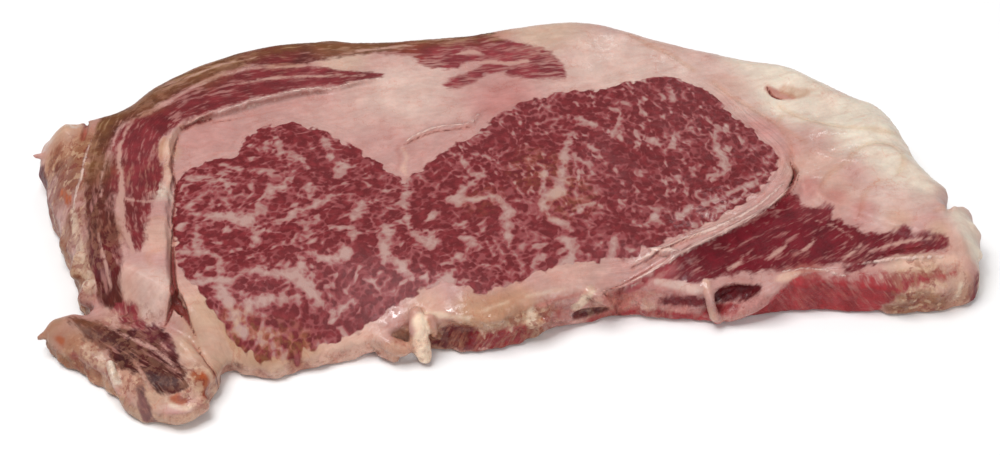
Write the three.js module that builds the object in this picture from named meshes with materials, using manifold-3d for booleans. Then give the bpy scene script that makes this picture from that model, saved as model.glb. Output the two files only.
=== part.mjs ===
import * as THREE from "three";
import { mergeVertices } from "three/addons/utils/BufferGeometryUtils.js";
import Module from "manifold-3d";

// A raw, marbled entrecote steak that lies on its lower cut face.
// Millimetres, +Z up. X runs along the steak, Y runs back from its near side.

// Driving dimensions
const THICKNESS = 20; // from cut face to cut face, through the eye
const CAP_RISE = 2.6; // the cap band stands this far above the eye
const CAP_FADE = [-64, -22]; // between these x the band comes down to the face
const EYE_CROWN = 0.8; // the eye swells this far in its middle
const TAIL_THICKNESS = 12.5; // the thin tail at the near left corner
const UNEVEN = 0.45; // height of the slow waves in a cut face that was sliced soft
const FOOT_ROUND = 2; // the lower edge is rounded in by this much
const SEAM = 0.3; // clear gap between a muscle and the fat round it
const CELL = 4.8; // spacing of the points across the cut face
const STEP = 4.4; // spacing of the points along an outline
const EDGE_FALL = 0.6; // past the edge, the blank goes on falling this steeply
const WALL_MUSCLE_TOP = [9.5, 9.5]; // tops of the finger and the strip in the near wall

// The steak's edge, anticlockwise from the crease beside the tail. Each point is x, y,
// the height of the edge there, and how far in the cut face starts to slope down to it.
const EDGE = [
  [-78, -61, 6, 16], [-68, -63, 5, 30], [-57, -60.5, 5.5, 34], [-46, -56.5, 6.5, 34],
  [-34, -52.8, 9, 28], [-23, -51.5, 12, 24], [-12, -51.5, 13, 22], [0, -49.5, 13, 20],
  [12, -44.5, 13, 18], [23, -40, 13, 16], [34, -37, 12.5, 16], [46, -37, 12.5, 16],
  [58, -39, 12, 20], [70, -38, 11.5, 26], [82, -35, 11.5, 30], [95, -34.5, 11.5, 32],
  [108, -35.5, 11, 32], [121, -36.5, 10.5, 28], [133, -34, 9, 22], [140, -29, 8, 14],
  [141.6, -20, 10, 12], [141.4, -9, 11, 10], [139, -3, 12, 8], [134.6, -6, 13, 6],
  [134.5, 3, 14, 8], [130, 9, 15, 9], [127, 16, 15, 9], [123, 29, 15, 9],
  [117.5, 42, 14.5, 9], [108.5, 47.5, 15, 9], [97.5, 55.5, 15.5, 8], [89.5, 60.5, 16, 7],
  [76, 63.5, 16.5, 7], [63, 68.5, 16, 7], [50, 74, 16, 7], [38, 79.5, 16, 7],
  [28, 82.5, 16.5, 7], [15, 82.3, 16.5, 7], [3, 79.5, 16.5, 7], [-10, 75.5, 16.5, 6],
  [-24, 74, 16, 6], [-40, 72, 16, 6], [-58, 70.5, 16, 7], [-75, 68, 16, 8],
  [-89, 63.5, 15, 9], [-101, 57.5, 14, 10], [-111, 49.5, 13, 11], [-119, 40, 12, 12],
  [-128, 34.5, 11, 10], [-136, 33, 10, 9], [-141.2, 27, 9, 11], [-141.6, 20, 9, 14],
  [-138.6, 13.5, 9, 16], [-137, 4, 9, 15], [-133.5, -6, 9, 14], [-129.5, -17, 9, 13],
  [-125.5, -29, 9, 12], [-121.5, -39, 9, 11], [-119.5, -44.5, 9, 9], [-126, -46, 8, 7],
  [-131.5, -50, 6, 9], [-126.5, -57, 6, 9], [-118, -63, 6, 10], [-110.5, -69, 7, 9],
  [-105, -76.5, 6, 9], [-97, -80.2, 6, 9], [-88, -79.8, 6, 8], [-82.5, -75, 7, 7],
  [-80.5, -68, 8, 5],
];

// The muscles, as the outlines of their cut faces.
const EYE = [
  [-96.5, 2], [-89, 10], [-81, 13], [-77, 22], [-72.5, 26.5], [-65, 29], [-55, 24.5],
  [-46, 18], [-37.5, 10.5], [-31, 3], [-29, -0.5], [-27, 3.5], [-20, 10.5], [-13.5, 19],
  [-6, 25], [-0.5, 33], [9, 39.5], [19, 44], [30.5, 44.5], [40, 48], [48, 50],
  [59, 47.5], [66, 41], [72.5, 30], [80, 19], [83, 11], [78, -0.5], [69.5, -10],
  [59, -17.5], [48.5, -24], [38, -29.5], [25.5, -31.5], [14, -34.5], [4, -39],
  [-5.5, -43.5], [-14, -40.5], [-22, -42], [-30, -46], [-40, -50.5], [-50, -55.5],
  [-60, -59.2], [-68, -61], [-75, -59], [-80, -54], [-87.5, -44], [-94, -33],
  [-95.5, -20], [-97, -5],
];
const CAP = [
  [-38, 48.8], [-37, 51], [-45, 50.5], [-55, 51.5], [-65, 51.5], [-75, 50.5], [-84, 47.2],
  [-90, 43.5], [-95, 38.5], [-99.5, 32.5], [-105.5, 27], [-111, 24], [-115, 18.5], [-116, 10],
  [-115.2, -1], [-112.5, -9.5], [-110.5, -17.5], [-108.5, -27], [-106, -34], [-104, -30.5],
  [-103.3, -22], [-102.8, -12], [-101, 2.5], [-102.8, 12], [-102.5, 18], [-97, 26.5],
  [-90, 30.7], [-78, 37.5], [-62, 42.7], [-48, 45.8],
];
const OUTER_CAP = [
  [-109.5, -44], [-114.5, -43], [-117.5, -38.5], [-119.8, -31.5], [-121.3, -22], [-123, -12.5],
  [-124, 2], [-124, 10], [-123.2, 20], [-121, 31], [-114.5, 40.5], [-107.5, 47], [-99.5, 53],
  [-89.5, 59], [-79.5, 63.6], [-69.5, 66.2], [-59.5, 68], [-50, 69], [-41, 69.8], [-33, 71],
  [-33, 67], [-40, 62.6], [-50, 59], [-58, 57], [-64, 54.8], [-78.5, 54.2], [-86, 52],
  [-92.5, 48], [-98.5, 42.5], [-104, 37.5], [-110, 31], [-116, 26.5], [-118.8, 19.5],
  [-118.8, 9], [-117.5, -1], [-115.6, -10], [-113.8, -19], [-111.8, -28], [-110, -37],
];
const TOP_MUSCLE = [
  [-30, 66.5], [-28, 61.5], [-22, 56.2], [-15, 56.2], [-9, 59.2], [-6, 57.6], [-9, 54.4],
  [-17, 49], [-15.5, 45.6], [-11, 46.8], [-1, 52.6], [5, 50.9], [12, 50.2], [20, 50.6],
  [20.2, 54], [18, 58.5], [14, 63.5], [8, 67], [2, 69.3], [-5, 71], [-14, 71.2], [-24, 69.5],
];
const RIB = [
  [45, -34.6], [50, -31.6], [57, -28], [65, -22.6], [73, -16.8], [80, -11.4], [85, -6],
  [88, -5.6], [90, -8.4], [96, -8.8], [100, -12.4], [104, -14.6], [108, -15.6], [114, -18.4],
  [119.5, -18], [124, -20.2], [129.6, -21], [130.5, -23.4], [127, -25], [119, -26],
  [111, -27], [103, -28.4], [94, -28.4], [86, -29], [78, -30.6], [70, -32.2], [63, -34],
  [56, -36], [50, -35.4],
];
const TAIL = [
  [-123, -49.6], [-117, -50.8], [-112, -53.6], [-106.5, -54.2], [-101, -53.4], [-96.8, -56.6],
  [-93.4, -61.4], [-91, -67], [-89, -73.6], [-89.6, -76.4], [-94, -77], [-98.4, -75],
  [-102.5, -71.2], [-107.5, -67.2], [-111, -62.8], [-116, -58], [-121, -53.6],
];
// These two show in the near wall only, so their outlines run out past the edge.
const FINGER = [
  [79, -34], [86, -32.2], [97, -32.5], [110, -32.2], [122, -31], [132, -29.5],
  [139, -33], [128, -42], [108, -44], [88, -42],
];
const STRIP = [
  [-18, -48], [-10, -46.8], [0, -44.8], [9, -41.3], [13.5, -42.5], [11, -50],
  [0, -56], [-13, -58], [-19, -54],
];

// The inner lip of the cap band, from the near left corner round to its end.
const LIP = [
  [-93, -50], [-95, -42], [-97, -26], [-98.5, -8], [-98.8, 4], [-99.5, 16], [-97, 25],
  [-88, 30.5], [-77.5, 36], [-70, 39], [-62, 42], [-52, 44], [-36, 47.5], [-22, 49],
];
const BEYOND = [[-22, 110], [-170, 110], [-170, -50]]; // closes the band on its far side

// The tail begins past this line: a point on it, and the direction that runs into the tail.
const TAIL_LINE = { at: [-99, -49.5], into: [-0.55, -0.83], width: 9 };

// Clefts in the fat: their course as x, y, the depth below the face, and their radius.
const CLEFTS = [
  { depth: 1.2, radius: 1.3, course: [[-95.2, -42], [-97.4, -26], [-98.8, -8], [-98.6, 3], [-99, 15]] },
  { depth: 1.5, radius: 2.2, course: [[-95.5, -44], [-94.5, -49], [-92, -54], [-89.5, -58]] },
  { depth: 1, radius: 1.5, course: [[-89.5, -58], [-86, -64], [-82, -69], [-79, -73]] },
  { depth: 0.8, radius: 1.3, course: [[86.5, 11], [87.3, 5], [86, -0.5], [83.5, -3]] },
  { depth: 0.6, radius: 1.6, course: [[83.5, 43.5], [87.5, 39.8], [92.5, 39.2], [97, 42]] },
  { depth: 0.5, radius: 1.5, course: [[-27.5, 24], [-28.4, 14], [-29, 5]] },
];

// Lumps, tags and spikes of fat that hang at the edge: middle, half sizes, and lean in degrees.
const TAGS = [
  { at: [-23.8, -53, 7.8], half: [3, 3.8, 7.6], lean: -8 },
  { at: [-31, -53.2, 5.5], half: [5, 3, 3.6], lean: 12 },
  { at: [29, -39, 9.5], half: [4.5, 2.4, 3], lean: 24 },
  { at: [-131.5, 26.5, 11], half: [9.5, 8, 4.5], lean: 20 },
  { at: [-127, -50, 7], half: [6, 4.2, 5], lean: 0 },
  { at: [-109, -71.4, 6], half: [2, 2.4, 5], lean: -24 },
];

// The loop of loose tissue in the near wall, and the pocket behind it.
const LOOP = [[59.5, -36.5, 13.5], [60.5, -40.2, 10], [61.5, -40.4, 6], [63.5, -36.6, 3]];
const LOOP_RADIUS = 1.5;
const LOOP_POCKET = { at: [67, -37.5, 9], half: [5.6, 5.2, 4.4], lean: 0 };

const wasm = await Module();
wasm.setup();

// A closed geometry as a solid that can be joined and cut.
function solid(geometry) {
  geometry.deleteAttribute("normal");
  geometry.deleteAttribute("uv");
  const merged = mergeVertices(geometry, 1e-4);
  const vertProperties = merged.attributes.position.array;
  const triVerts = new Uint32Array(merged.index.array);
  return new wasm.Manifold(new wasm.Mesh({ numProp: 3, vertProperties, triVerts }));
}

// A smooth closed outline through points, as evenly spaced points, anticlockwise.
function outline(points) {
  const corners = points.map(([x, y]) => new THREE.Vector3(x, y, 0));
  const curve = new THREE.CatmullRomCurve3(corners, true, "centripetal");
  const count = Math.round(curve.getLength() / STEP);
  const spaced = curve.getSpacedPoints(count).slice(0, count);
  const flat = spaced.map((p) => new THREE.Vector2(p.x, p.y));
  return THREE.ShapeUtils.isClockWise(flat) ? flat.reverse() : flat;
}

// The same outline moved outwards by a distance.
function grown(flat, distance) {
  return flat.map((point, i) => {
    const before = flat.at(i - 1);
    const after = flat[(i + 1) % flat.length];
    const along = after.clone().sub(before).normalize();
    return new THREE.Vector2(point.x + along.y * distance, point.y - along.x * distance);
  });
}

// An upright solid on an outline, between two heights.
function prism(flat, low, high) {
  const geometry = new THREE.ExtrudeGeometry(new THREE.Shape(flat), {
    depth: high - low,
    bevelEnabled: false,
  });
  return solid(geometry.translate(0, 0, low));
}

// How far a point lies inside a closed outline; negative outside.
function inside(x, y, flat) {
  let nearest = Infinity;
  let within = false;
  flat.forEach((a, i) => {
    const b = flat[(i + 1) % flat.length];
    const dx = b.x - a.x;
    const dy = b.y - a.y;
    const along = ((x - a.x) * dx + (y - a.y) * dy) / (dx * dx + dy * dy);
    const t = THREE.MathUtils.clamp(along, 0, 1);
    nearest = Math.min(nearest, Math.hypot(x - a.x - t * dx, y - a.y - t * dy));
    if (a.y > y !== b.y > y && x < a.x + ((y - a.y) * dx) / dy) within = !within;
  });
  return within ? nearest : -nearest;
}

const { smoothstep } = THREE.MathUtils;
const band = [...LIP, ...BEYOND].map(([x, y]) => new THREE.Vector2(x, y));
const eyeFace = outline(EYE);

// The cut face before it slopes down to the edge.
function face(x, y) {
  const rise = CAP_RISE * (1 - smoothstep(x, ...CAP_FADE)) * smoothstep(inside(x, y, band), -1, 2);
  const crown = EYE_CROWN * smoothstep(inside(x, y, eyeFace), 0, 30);
  const waves = Math.sin(x / 13 + 1) * Math.cos(y / 10 - 0.4) + 0.5 * Math.sin(x / 7 - y / 9);
  const { at, into, width } = TAIL_LINE;
  const past = (x - at[0]) * into[0] + (y - at[1]) * into[1];
  const high = THICKNESS + rise + crown + UNEVEN * waves;
  return high + (TAIL_THICKNESS - high) * smoothstep(past, -width / 2, width / 2);
}

const edgeCurve = new THREE.CatmullRomCurve3(
  EDGE.map(([x, y, z]) => new THREE.Vector3(x, y, z)), true, "centripetal");
const edgeCount = Math.round(edgeCurve.getLength() / STEP);
const edgePoints = Array.from({ length: edgeCount }, (_, i) => {
  const t = edgeCurve.getUtoTmapping(i / edgeCount);
  const place = t * EDGE.length;
  const [here, next] = [EDGE[Math.floor(place)], EDGE[(Math.floor(place) + 1) % EDGE.length]];
  const run = THREE.MathUtils.lerp(here[3], next[3], place % 1);
  return { point: edgeCurve.getPoint(t), run };
});

const edgePlan = edgePoints.map(({ point }) => new THREE.Vector2(point.x, point.y));

// The height of the steak over a point of its plan.
function height(x, y) {
  const away = edgePoints.map(({ point }) => Math.hypot(x - point.x, y - point.y));
  if (inside(x, y, edgePlan) < 0) {
    const nearest = away.indexOf(Math.min(...away));
    return edgePoints[nearest].point.z - EDGE_FALL * away[nearest];
  }
  const high = face(x, y);
  const heights = edgePoints.map(({ point, run }, i) => {
    const t = Math.min(1, away[i] / run);
    return point.z + (high - point.z) * t * (2 - t);
  });
  return Math.min(high, ...heights);
}

// A box whose top is bent to the cut face, cut to the edge and the flat foot of the steak.
function steakBlank() {
  const margin = 2 * CELL;
  const box = new THREE.Box3().setFromPoints(edgePoints.map(({ point }) => point));
  const size = box.getSize(new THREE.Vector3()).addScalar(margin);
  const middle = box.getCenter(new THREE.Vector3());
  const cells = [Math.ceil(size.x / CELL), Math.ceil(size.y / CELL)];
  const geometry = new THREE.BoxGeometry(size.x, size.y, 2 * THICKNESS, ...cells, 1);
  geometry.translate(middle.x, middle.y, 0);
  const position = geometry.attributes.position;
  for (let i = 0; i < position.count; i++) {
    if (position.getZ(i) > 0) position.setZ(i, height(position.getX(i), position.getY(i)));
  }
  const wall = new THREE.ExtrudeGeometry(new THREE.Shape(edgePlan), {
    depth: 2 * THICKNESS,
    bevelThickness: FOOT_ROUND,
    bevelSize: FOOT_ROUND,
    bevelOffset: -FOOT_ROUND,
    bevelSegments: 1,
  });
  return solid(geometry).intersect(solid(wall.translate(0, 0, FOOT_ROUND)));
}

// A rounded lump with its half sizes, leaning about Y.
function lump({ at, half, lean }) {
  const geometry = new THREE.SphereGeometry(1, 10, 7).scale(...half);
  return solid(geometry.rotateY(THREE.MathUtils.degToRad(lean)).translate(...at));
}

// A round bar along a course of points.
function bar(course, radius) {
  const points = course.map((p) => new THREE.Vector3(...p));
  const extrudePath = new THREE.CatmullRomCurve3(points);
  const steps = Math.max(4, Math.round(extrudePath.getLength() / STEP));
  const ring = new THREE.Shape().absarc(0, 0, radius, 0, 2 * Math.PI);
  return solid(new THREE.ExtrudeGeometry(ring, { extrudePath, steps, curveSegments: 4 }));
}

function cleft({ depth, radius, course }) {
  return bar(course.map(([x, y]) => [x, y, height(x, y) - depth]), radius);
}

// One node: a named mesh in the colour of its tissue.
function piece(name, shape, tissue) {
  const { vertProperties, triVerts } = shape.getMesh();
  const geometry = new THREE.BufferGeometry()
    .setAttribute("position", new THREE.BufferAttribute(vertProperties, 3))
    .setIndex(new THREE.BufferAttribute(triVerts, 1));
  geometry.computeVertexNormals();
  const mesh = new THREE.Mesh(geometry, tissue);
  mesh.name = name;
  return mesh;
}

const wet = { roughness: 0.4, metalness: 0 };
const LEAN = new THREE.MeshStandardMaterial({ color: "#9c4049", ...wet });
const DARK_LEAN = new THREE.MeshStandardMaterial({ color: "#7d2730", ...wet });
const AGED_LEAN = new THREE.MeshStandardMaterial({ color: "#7a4a3a", ...wet });
const FAT = new THREE.MeshStandardMaterial({ color: "#e6c3b0", ...wet });

const blank = steakBlank();
const above = 2 * THICKNESS;
const MUSCLES = [
  { name: "eye_muscle", points: EYE, top: above, tissue: LEAN },
  { name: "cap_muscle", points: CAP, top: above, tissue: LEAN },
  { name: "outer_cap_muscle", points: OUTER_CAP, top: above, tissue: AGED_LEAN },
  { name: "top_muscle", points: TOP_MUSCLE, top: above, tissue: LEAN },
  { name: "rib_muscle", points: RIB, top: above, tissue: DARK_LEAN },
  { name: "tail_muscle", points: TAIL, top: above, tissue: AGED_LEAN },
  { name: "finger_muscle", points: FINGER, top: WALL_MUSCLE_TOP[0], tissue: LEAN },
  { name: "strip_muscle", points: STRIP, top: WALL_MUSCLE_TOP[1], tissue: DARK_LEAN },
];

let fat = blank;
for (const each of CLEFTS) fat = fat.subtract(cleft(each));
fat = fat.subtract(lump(LOOP_POCKET));
for (const tag of TAGS) fat = fat.add(lump(tag));
fat = fat.add(bar(LOOP, LOOP_RADIUS));

const steak = new THREE.Group();
for (const { name, points, top, tissue } of MUSCLES) {
  const flat = outline(points);
  steak.add(piece(name, blank.intersect(prism(flat, -1, top)), tissue));
  fat = fat.subtract(prism(grown(flat, SEAM), -1, top + SEAM));
}
steak.add(piece("fat_body", fat, FAT));

// The origin lies under the middle of the steak.
const middle = new THREE.Box3().setFromObject(steak).getCenter(new THREE.Vector3());
steak.position.set(-middle.x, -middle.y, 0);

export default steak;
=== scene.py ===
import math

import bpy
import numpy as np
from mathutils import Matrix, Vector
from mathutils.geometry import delaunay_2d_cdt


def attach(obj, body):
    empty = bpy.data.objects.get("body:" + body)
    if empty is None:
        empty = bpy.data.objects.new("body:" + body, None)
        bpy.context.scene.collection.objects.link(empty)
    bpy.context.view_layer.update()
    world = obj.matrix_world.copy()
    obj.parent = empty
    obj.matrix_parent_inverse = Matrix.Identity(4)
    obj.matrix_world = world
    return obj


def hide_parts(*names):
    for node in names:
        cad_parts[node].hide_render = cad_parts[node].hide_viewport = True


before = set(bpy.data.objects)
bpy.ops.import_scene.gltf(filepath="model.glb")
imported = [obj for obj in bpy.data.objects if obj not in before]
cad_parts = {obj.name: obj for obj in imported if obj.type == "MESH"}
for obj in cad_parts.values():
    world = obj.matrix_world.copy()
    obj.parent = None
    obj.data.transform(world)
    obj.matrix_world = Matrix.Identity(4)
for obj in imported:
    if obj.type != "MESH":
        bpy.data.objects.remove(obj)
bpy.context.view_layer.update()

# The cut face
# A raw entrecote lies on its lower cut face. Its upper one was sliced soft, so it waves a little,
# stands highest along the cap band and slopes down to the near edge and the thin tail.
# Plan places are in millimetres, as x along the steak and y back from its near side.

MIDDLE = (0.042, 1.126)  # the plan point over the frame's origin
MM = 0.001
THICKNESS = 20.0
CAP_RISE = 2.6
CAP_FADE = (-64.0, -22.0)
EYE_CROWN = 0.8
TAIL_THICKNESS = 12.5
UNEVEN = 0.45
LIP_SLOPE = (-0.6, 1.0)  # how far beside the lip of the cap band the face starts and ends to rise
SUNK_BY = 1.7
SUNK_SLOPE = (-0.6, 2.4)
CROWN_RUN = 30
RIM_DROP = 0.3
STEP = 2.0  # spacing of the points along a smooth outline
SPAN_PARTS = 10
BATCH = 20000  # places whose distances are worked out at once

# x, y, the height of the edge, and how far in the face starts to slope down to it
EDGE = [
    (-78, -61, 6, 16), (-68, -63, 5, 30), (-57, -60.5, 5.5, 34), (-46, -56.5, 6.5, 34), (-34, -52.8, 9, 28),
    (-23, -51.5, 12, 24), (-12, -51.5, 13, 22), (0, -49.5, 13, 20), (12, -44.5, 13, 18), (23, -40, 13, 16),
    (34, -37, 12.5, 16), (46, -37, 12.5, 16), (58, -39, 12, 20), (70, -38, 11.5, 26), (82, -35, 11.5, 30),
    (95, -34.5, 11.5, 32), (108, -35.5, 11, 32), (121, -36.5, 10.5, 28), (133, -34, 9, 22),
    (140, -29, 8, 14), (141.6, -20, 10, 12), (141.4, -9, 11, 10), (138.6, -4, 12, 6), (133.4, -6, 13, 5),
    (134.5, 3, 14, 8), (130, 9, 15, 9), (127, 16, 15, 9), (123, 29, 15, 9), (117.5, 42, 14.5, 9),
    (108.5, 47.5, 15, 9), (97.5, 55.5, 15.5, 8), (89.5, 60.5, 16, 7), (76, 63.5, 16.5, 7),
    (63, 68.5, 16, 7), (50, 74, 16, 7), (38, 79.5, 16, 7), (28, 82.5, 16.5, 7), (15, 82.3, 16.5, 7),
    (3, 79.5, 16.5, 7), (-10, 75.5, 16.5, 6), (-24, 74, 16, 6), (-40, 72, 16, 6), (-58, 70.5, 16, 7),
    (-75, 68, 16, 8), (-89, 63.5, 15, 9), (-101, 57.5, 14, 10), (-111, 49.5, 13, 11), (-119, 40, 12, 12),
    (-128, 34.5, 11, 10), (-136, 33, 10, 9), (-141.2, 27, 9, 11), (-141.6, 20, 9, 14),
    (-138.6, 13.5, 9, 16), (-137, 4, 9, 15), (-133.5, -6, 9, 14), (-129.5, -17, 9, 13),
    (-125.5, -29, 9, 12), (-121.5, -39, 9, 11), (-119.5, -44.5, 9, 9), (-126, -46, 8, 7),
    (-131.5, -50, 6, 9), (-126.5, -57, 6, 9), (-118, -63, 6, 10), (-110.5, -69, 7, 9), (-105, -76.5, 6, 9),
    (-97, -80.2, 6, 9), (-88, -79.8, 6, 8), (-82.5, -75, 7, 7), (-80.5, -68, 8, 5),
]
# the inner lip of the cap band, then the far points that close the band
LIP = [
    (-93, -50), (-95, -42), (-97, -26), (-98.5, -8), (-98.8, 4), (-99.5, 16), (-97, 25), (-88, 30.5),
    (-77.5, 36), (-70, 39), (-62, 42), (-52, 44), (-36, 47.5), (-22, 49),
]
BEYOND = [(-22, 110), (-170, 110), (-170, -50)]
TAIL_AT, TAIL_INTO, TAIL_WIDTH = (-99, -49.5), (-0.55, -0.83), 9.0


def curve(points, closed=True, step=STEP):
    """A smooth curve through points, evenly spaced; columns after x and y ride along."""
    p = np.array(points, float)
    if not closed:
        p = np.vstack([2 * p[0] - p[1], p, 2 * p[-1] - p[-2]])
    a, b, c, d = (np.roll(p, k, 0) for k in (1, 0, -1, -2))
    gaps = [np.sqrt(np.linalg.norm((q - r)[:, :2], axis=1))[:, None] for q, r in ((b, a), (c, b), (d, c))]
    t1, t2, t3 = gaps[0], gaps[0] + gaps[1], gaps[0] + gaps[1] + gaps[2]
    fine = []
    for share in np.linspace(0, 1, SPAN_PARTS, endpoint=False):
        t = t1 + share * (t2 - t1)
        a1 = ((t1 - t) * a + t * b) / t1
        a2 = ((t2 - t) * b + (t - t1) * c) / (t2 - t1)
        a3 = ((t3 - t) * c + (t - t2) * d) / (t3 - t2)
        b1 = ((t2 - t) * a1 + t * a2) / t2
        b2 = ((t3 - t) * a2 + (t - t1) * a3) / (t3 - t1)
        fine.append(((t2 - t) * b1 + (t - t1) * b2) / (t2 - t1))
    fine = np.stack(fine, 1)
    fine = fine.reshape(-1, p.shape[1]) if closed else fine[1:-2].reshape(-1, p.shape[1])
    fine = np.vstack([fine, fine[:1] if closed else p[-2:-1]])
    run = np.concatenate([[0], np.cumsum(np.linalg.norm(np.diff(fine[:, :2], axis=0), axis=1))])
    count = max(2, round(run[-1] / step))
    at = np.arange(count if closed else count + 1) * run[-1] / count
    return np.stack([np.interp(at, run, column) for column in fine.T], 1)


def nearest(x, y, line, closed=True):
    """Distance in plan to a line, signed positive inside a closed one, and the length along it."""
    shape = np.shape(x)
    px, py = np.ravel(x).astype(np.float32), np.ravel(y).astype(np.float32)
    a = line[:, :2].astype(np.float32)
    b = np.roll(a, -1, 0)
    if not closed:
        a, b = a[:-1], b[:-1]
    d = b - a
    size = np.maximum((d * d).sum(1), 1e-9)
    start = np.concatenate([[0], np.cumsum(np.sqrt(size))[:-1]])
    away, along = np.empty(px.size, np.float32), np.empty(px.size, np.float32)
    for i in range(0, px.size, BATCH):
        qx, qy = px[i:i + BATCH, None], py[i:i + BATCH, None]
        t = np.clip(((qx - a[:, 0]) * d[:, 0] + (qy - a[:, 1]) * d[:, 1]) / size, 0, 1)
        square = (qx - a[:, 0] - t * d[:, 0]) ** 2 + (qy - a[:, 1] - t * d[:, 1]) ** 2
        best = square.argmin(1)
        row = np.arange(best.size)
        gap = np.sqrt(square[row, best])
        if closed:
            crossed = (a[:, 1] > qy) != (b[:, 1] > qy)
            safe = np.where(np.abs(d[:, 1]) < 1e-9, 1e-9, d[:, 1])
            within = (crossed & (qx < a[:, 0] + (qy - a[:, 1]) * d[:, 0] / safe)).sum(1) % 2
            gap = np.where(within == 1, gap, -gap)
        away[i:i + BATCH] = gap
        along[i:i + BATCH] = start[best] + t[row, best] * np.sqrt(size[best])
    return away.reshape(shape), along.reshape(shape)


def smooth(value, low, high):
    """A soft step from 0 at low to 1 at high."""
    t = np.clip((value - low) / (high - low), 0, 1)
    return t * t * (3 - 2 * t)


EYE = [
    (-96.5, 2), (-89, 10), (-81, 13), (-77, 22), (-72.5, 26.5), (-65, 29), (-55, 24.5), (-46, 18),
    (-37.5, 10.5), (-31, 3), (-29, -0.5), (-27, 3.5), (-20, 10.5), (-13.5, 19), (-6, 25), (-0.5, 33),
    (9, 39.5), (19, 44), (30.5, 44.5), (40, 48), (48, 50), (59, 47.5), (66, 41), (72.5, 30), (80, 19),
    (83, 11), (78, -0.5), (69.5, -10), (59, -17.5), (48.5, -24), (38, -29.5), (25.5, -31.5), (14, -34.5),
    (4, -39), (-5.5, -43.5), (-14, -40.5), (-22, -42), (-30, -46), (-40, -50.5), (-50, -55.5), (-60, -59.2),
    (-68, -61), (-75, -59), (-80, -54), (-87.5, -44), (-94, -33), (-95.5, -20), (-97, -5),
]
edge = curve(EDGE)
eye = curve(EYE)
band = curve(LIP + BEYOND)

# soft lumps of the thick fat at the right: x, y, radius, height
LUMPS = [
    (96, 22, 13, 1.9), (112, 26, 9, 1.7), (106, 8, 10, 1.2), (122, 10, 9, 1.8), (86, 36, 8, -1.1),
    (70, 54, 12, 0.8), (92, 48, 8, 0.9), (44, 64, 12, 0.7), (24, 68, 10, 0.8), (121, -6, 9, 0.7),
    (86, 44.4, 3.6, -1.3), (91, 43, 3.6, -1.5), (82.5, 46.5, 3, 0.5), (90, 49, 7, 0.6), (-130, 27, 4, -2.4),
    (-137, 30, 5, -2.2), (-133, 24, 3, 0.8), (104, 0, 7, -1.1), (114, 14, 6, 1.1), (100, 16, 5, -1),
    (116, 22, 5, -1), (127, -2, 4, -1), (-6, 60, 10, -0.6), (-52, 34, 12, -0.9), (-30, 40, 9, 0.7),
    (-84, 22, 7, -0.8), (97, 34, 6, -1.1),
]
# the rib meat and the near rim lie a little lower than the ring of fat round the eye
SUNK = [
    (89.5, 4), (87.5, -3), (84, -7), (79, -12), (72.5, -17), (64.5, -23), (56, -29), (49, -33), (40, -37),
    (40, -60), (160, -60), (160, -22), (131, -22.5), (119, -17.5), (104, -10), (95, -6),
]
sunk = curve(SUNK)


def height(x, y, to_edge):
    """Height of the cut face over a place in plan."""
    from_lip = nearest(x, y, band)[0]
    in_eye = nearest(x, y, eye)[0]
    rise = CAP_RISE * (1 - smooth(x, *CAP_FADE)) * smooth(from_lip, *LIP_SLOPE)
    waves = np.sin(x / 13 + 1) * np.cos(y / 10 - 0.4) + 0.5 * np.sin(x / 7 - y / 9)
    rise = rise - SUNK_BY * smooth(nearest(x, y, sunk)[0], *SUNK_SLOPE)
    high = THICKNESS + rise + EYE_CROWN * smooth(in_eye, 0, CROWN_RUN) + UNEVEN * waves
    past = (x - TAIL_AT[0]) * TAIL_INTO[0] + (y - TAIL_AT[1]) * TAIL_INTO[1]
    high = high + (TAIL_THICKNESS - high) * smooth(past, -TAIL_WIDTH / 2, TAIL_WIDTH / 2)
    for cx, cy, radius, up in LUMPS:
        high = high + up * np.exp(-((x - cx) ** 2 + (y - cy) ** 2) / (0.5 * radius ** 2))
    low = high.copy()
    for px, py, pz, run in edge:
        t = np.minimum(1, np.hypot(x - px, y - py) / run)
        low = np.minimum(low, pz + (high - pz) * t * (2 - t))
    return np.where(to_edge > 0, low, low + RIM_DROP * to_edge)


# The body of the steak
# Fat and loose tissue hold the muscles together; the whole was cut as one slice. Its side is
# the outside of the muscle: uneven, rounded at the foot, with tags, clefts and a loose loop.

CELL = 0.7
FOOT = 2.2  # radius of the foot
RIM_ROUND = 2.4
INSET = 0.2  # the side starts this far inside the edge
CRAGS = ((9, 1.0), (4.5, 0.75), (2.4, 0.5))  # size and height of the crags in the side
FRAYS = ((3.2, 0.3), (1.9, 0.34))  # finer ones, also on the tags
FACE_CRAGS = 0.16
TAG_BLEND, RIDGE_BLEND, HOLLOW_BLEND = 1.2, 0.9, 0.7
BAR_STEP = 1.5  # spacing of the points along a tag or a hollow
CLEFT_TIP, RIDGE_TIP = (0.18, 0.6), (0.12, 0.5)  # where in its taper a bar starts, and the taper's power
LOW = np.array([-146.0, -86.0, -1.25])  # the corners of the grid
HIGH = np.array([146.5, 88.0, 27.0])
counts = np.ceil((HIGH - LOW) / CELL).astype(int) + 1
gx, gy, gz = (LOW[k] + CELL * np.arange(counts[k]) for k in range(3))
plan_x, plan_y = np.meshgrid(gx, gy, indexing="ij")
random = np.random.default_rng(11)


def cloud(size):
    """Smooth random values from -1 to 1 over the grid, changing over a size in millimetres."""
    weights = []
    for axis in (gx, gy, gz):
        place = (axis - axis[0]) / size
        first = place.astype(int)
        share = smooth(place - first, 0, 1)
        row = np.arange(axis.size)
        weights.append(np.zeros((axis.size, first[-1] + 2), np.float32))
        weights[-1][row, first] = 1 - share
        weights[-1][row, first + 1] = share
    lattice = random.uniform(-1, 1, [w.shape[1] for w in weights]).astype(np.float32)
    return np.einsum("ai,bj,ck,ijk->abc", *weights, lattice, optimize=True)


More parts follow.
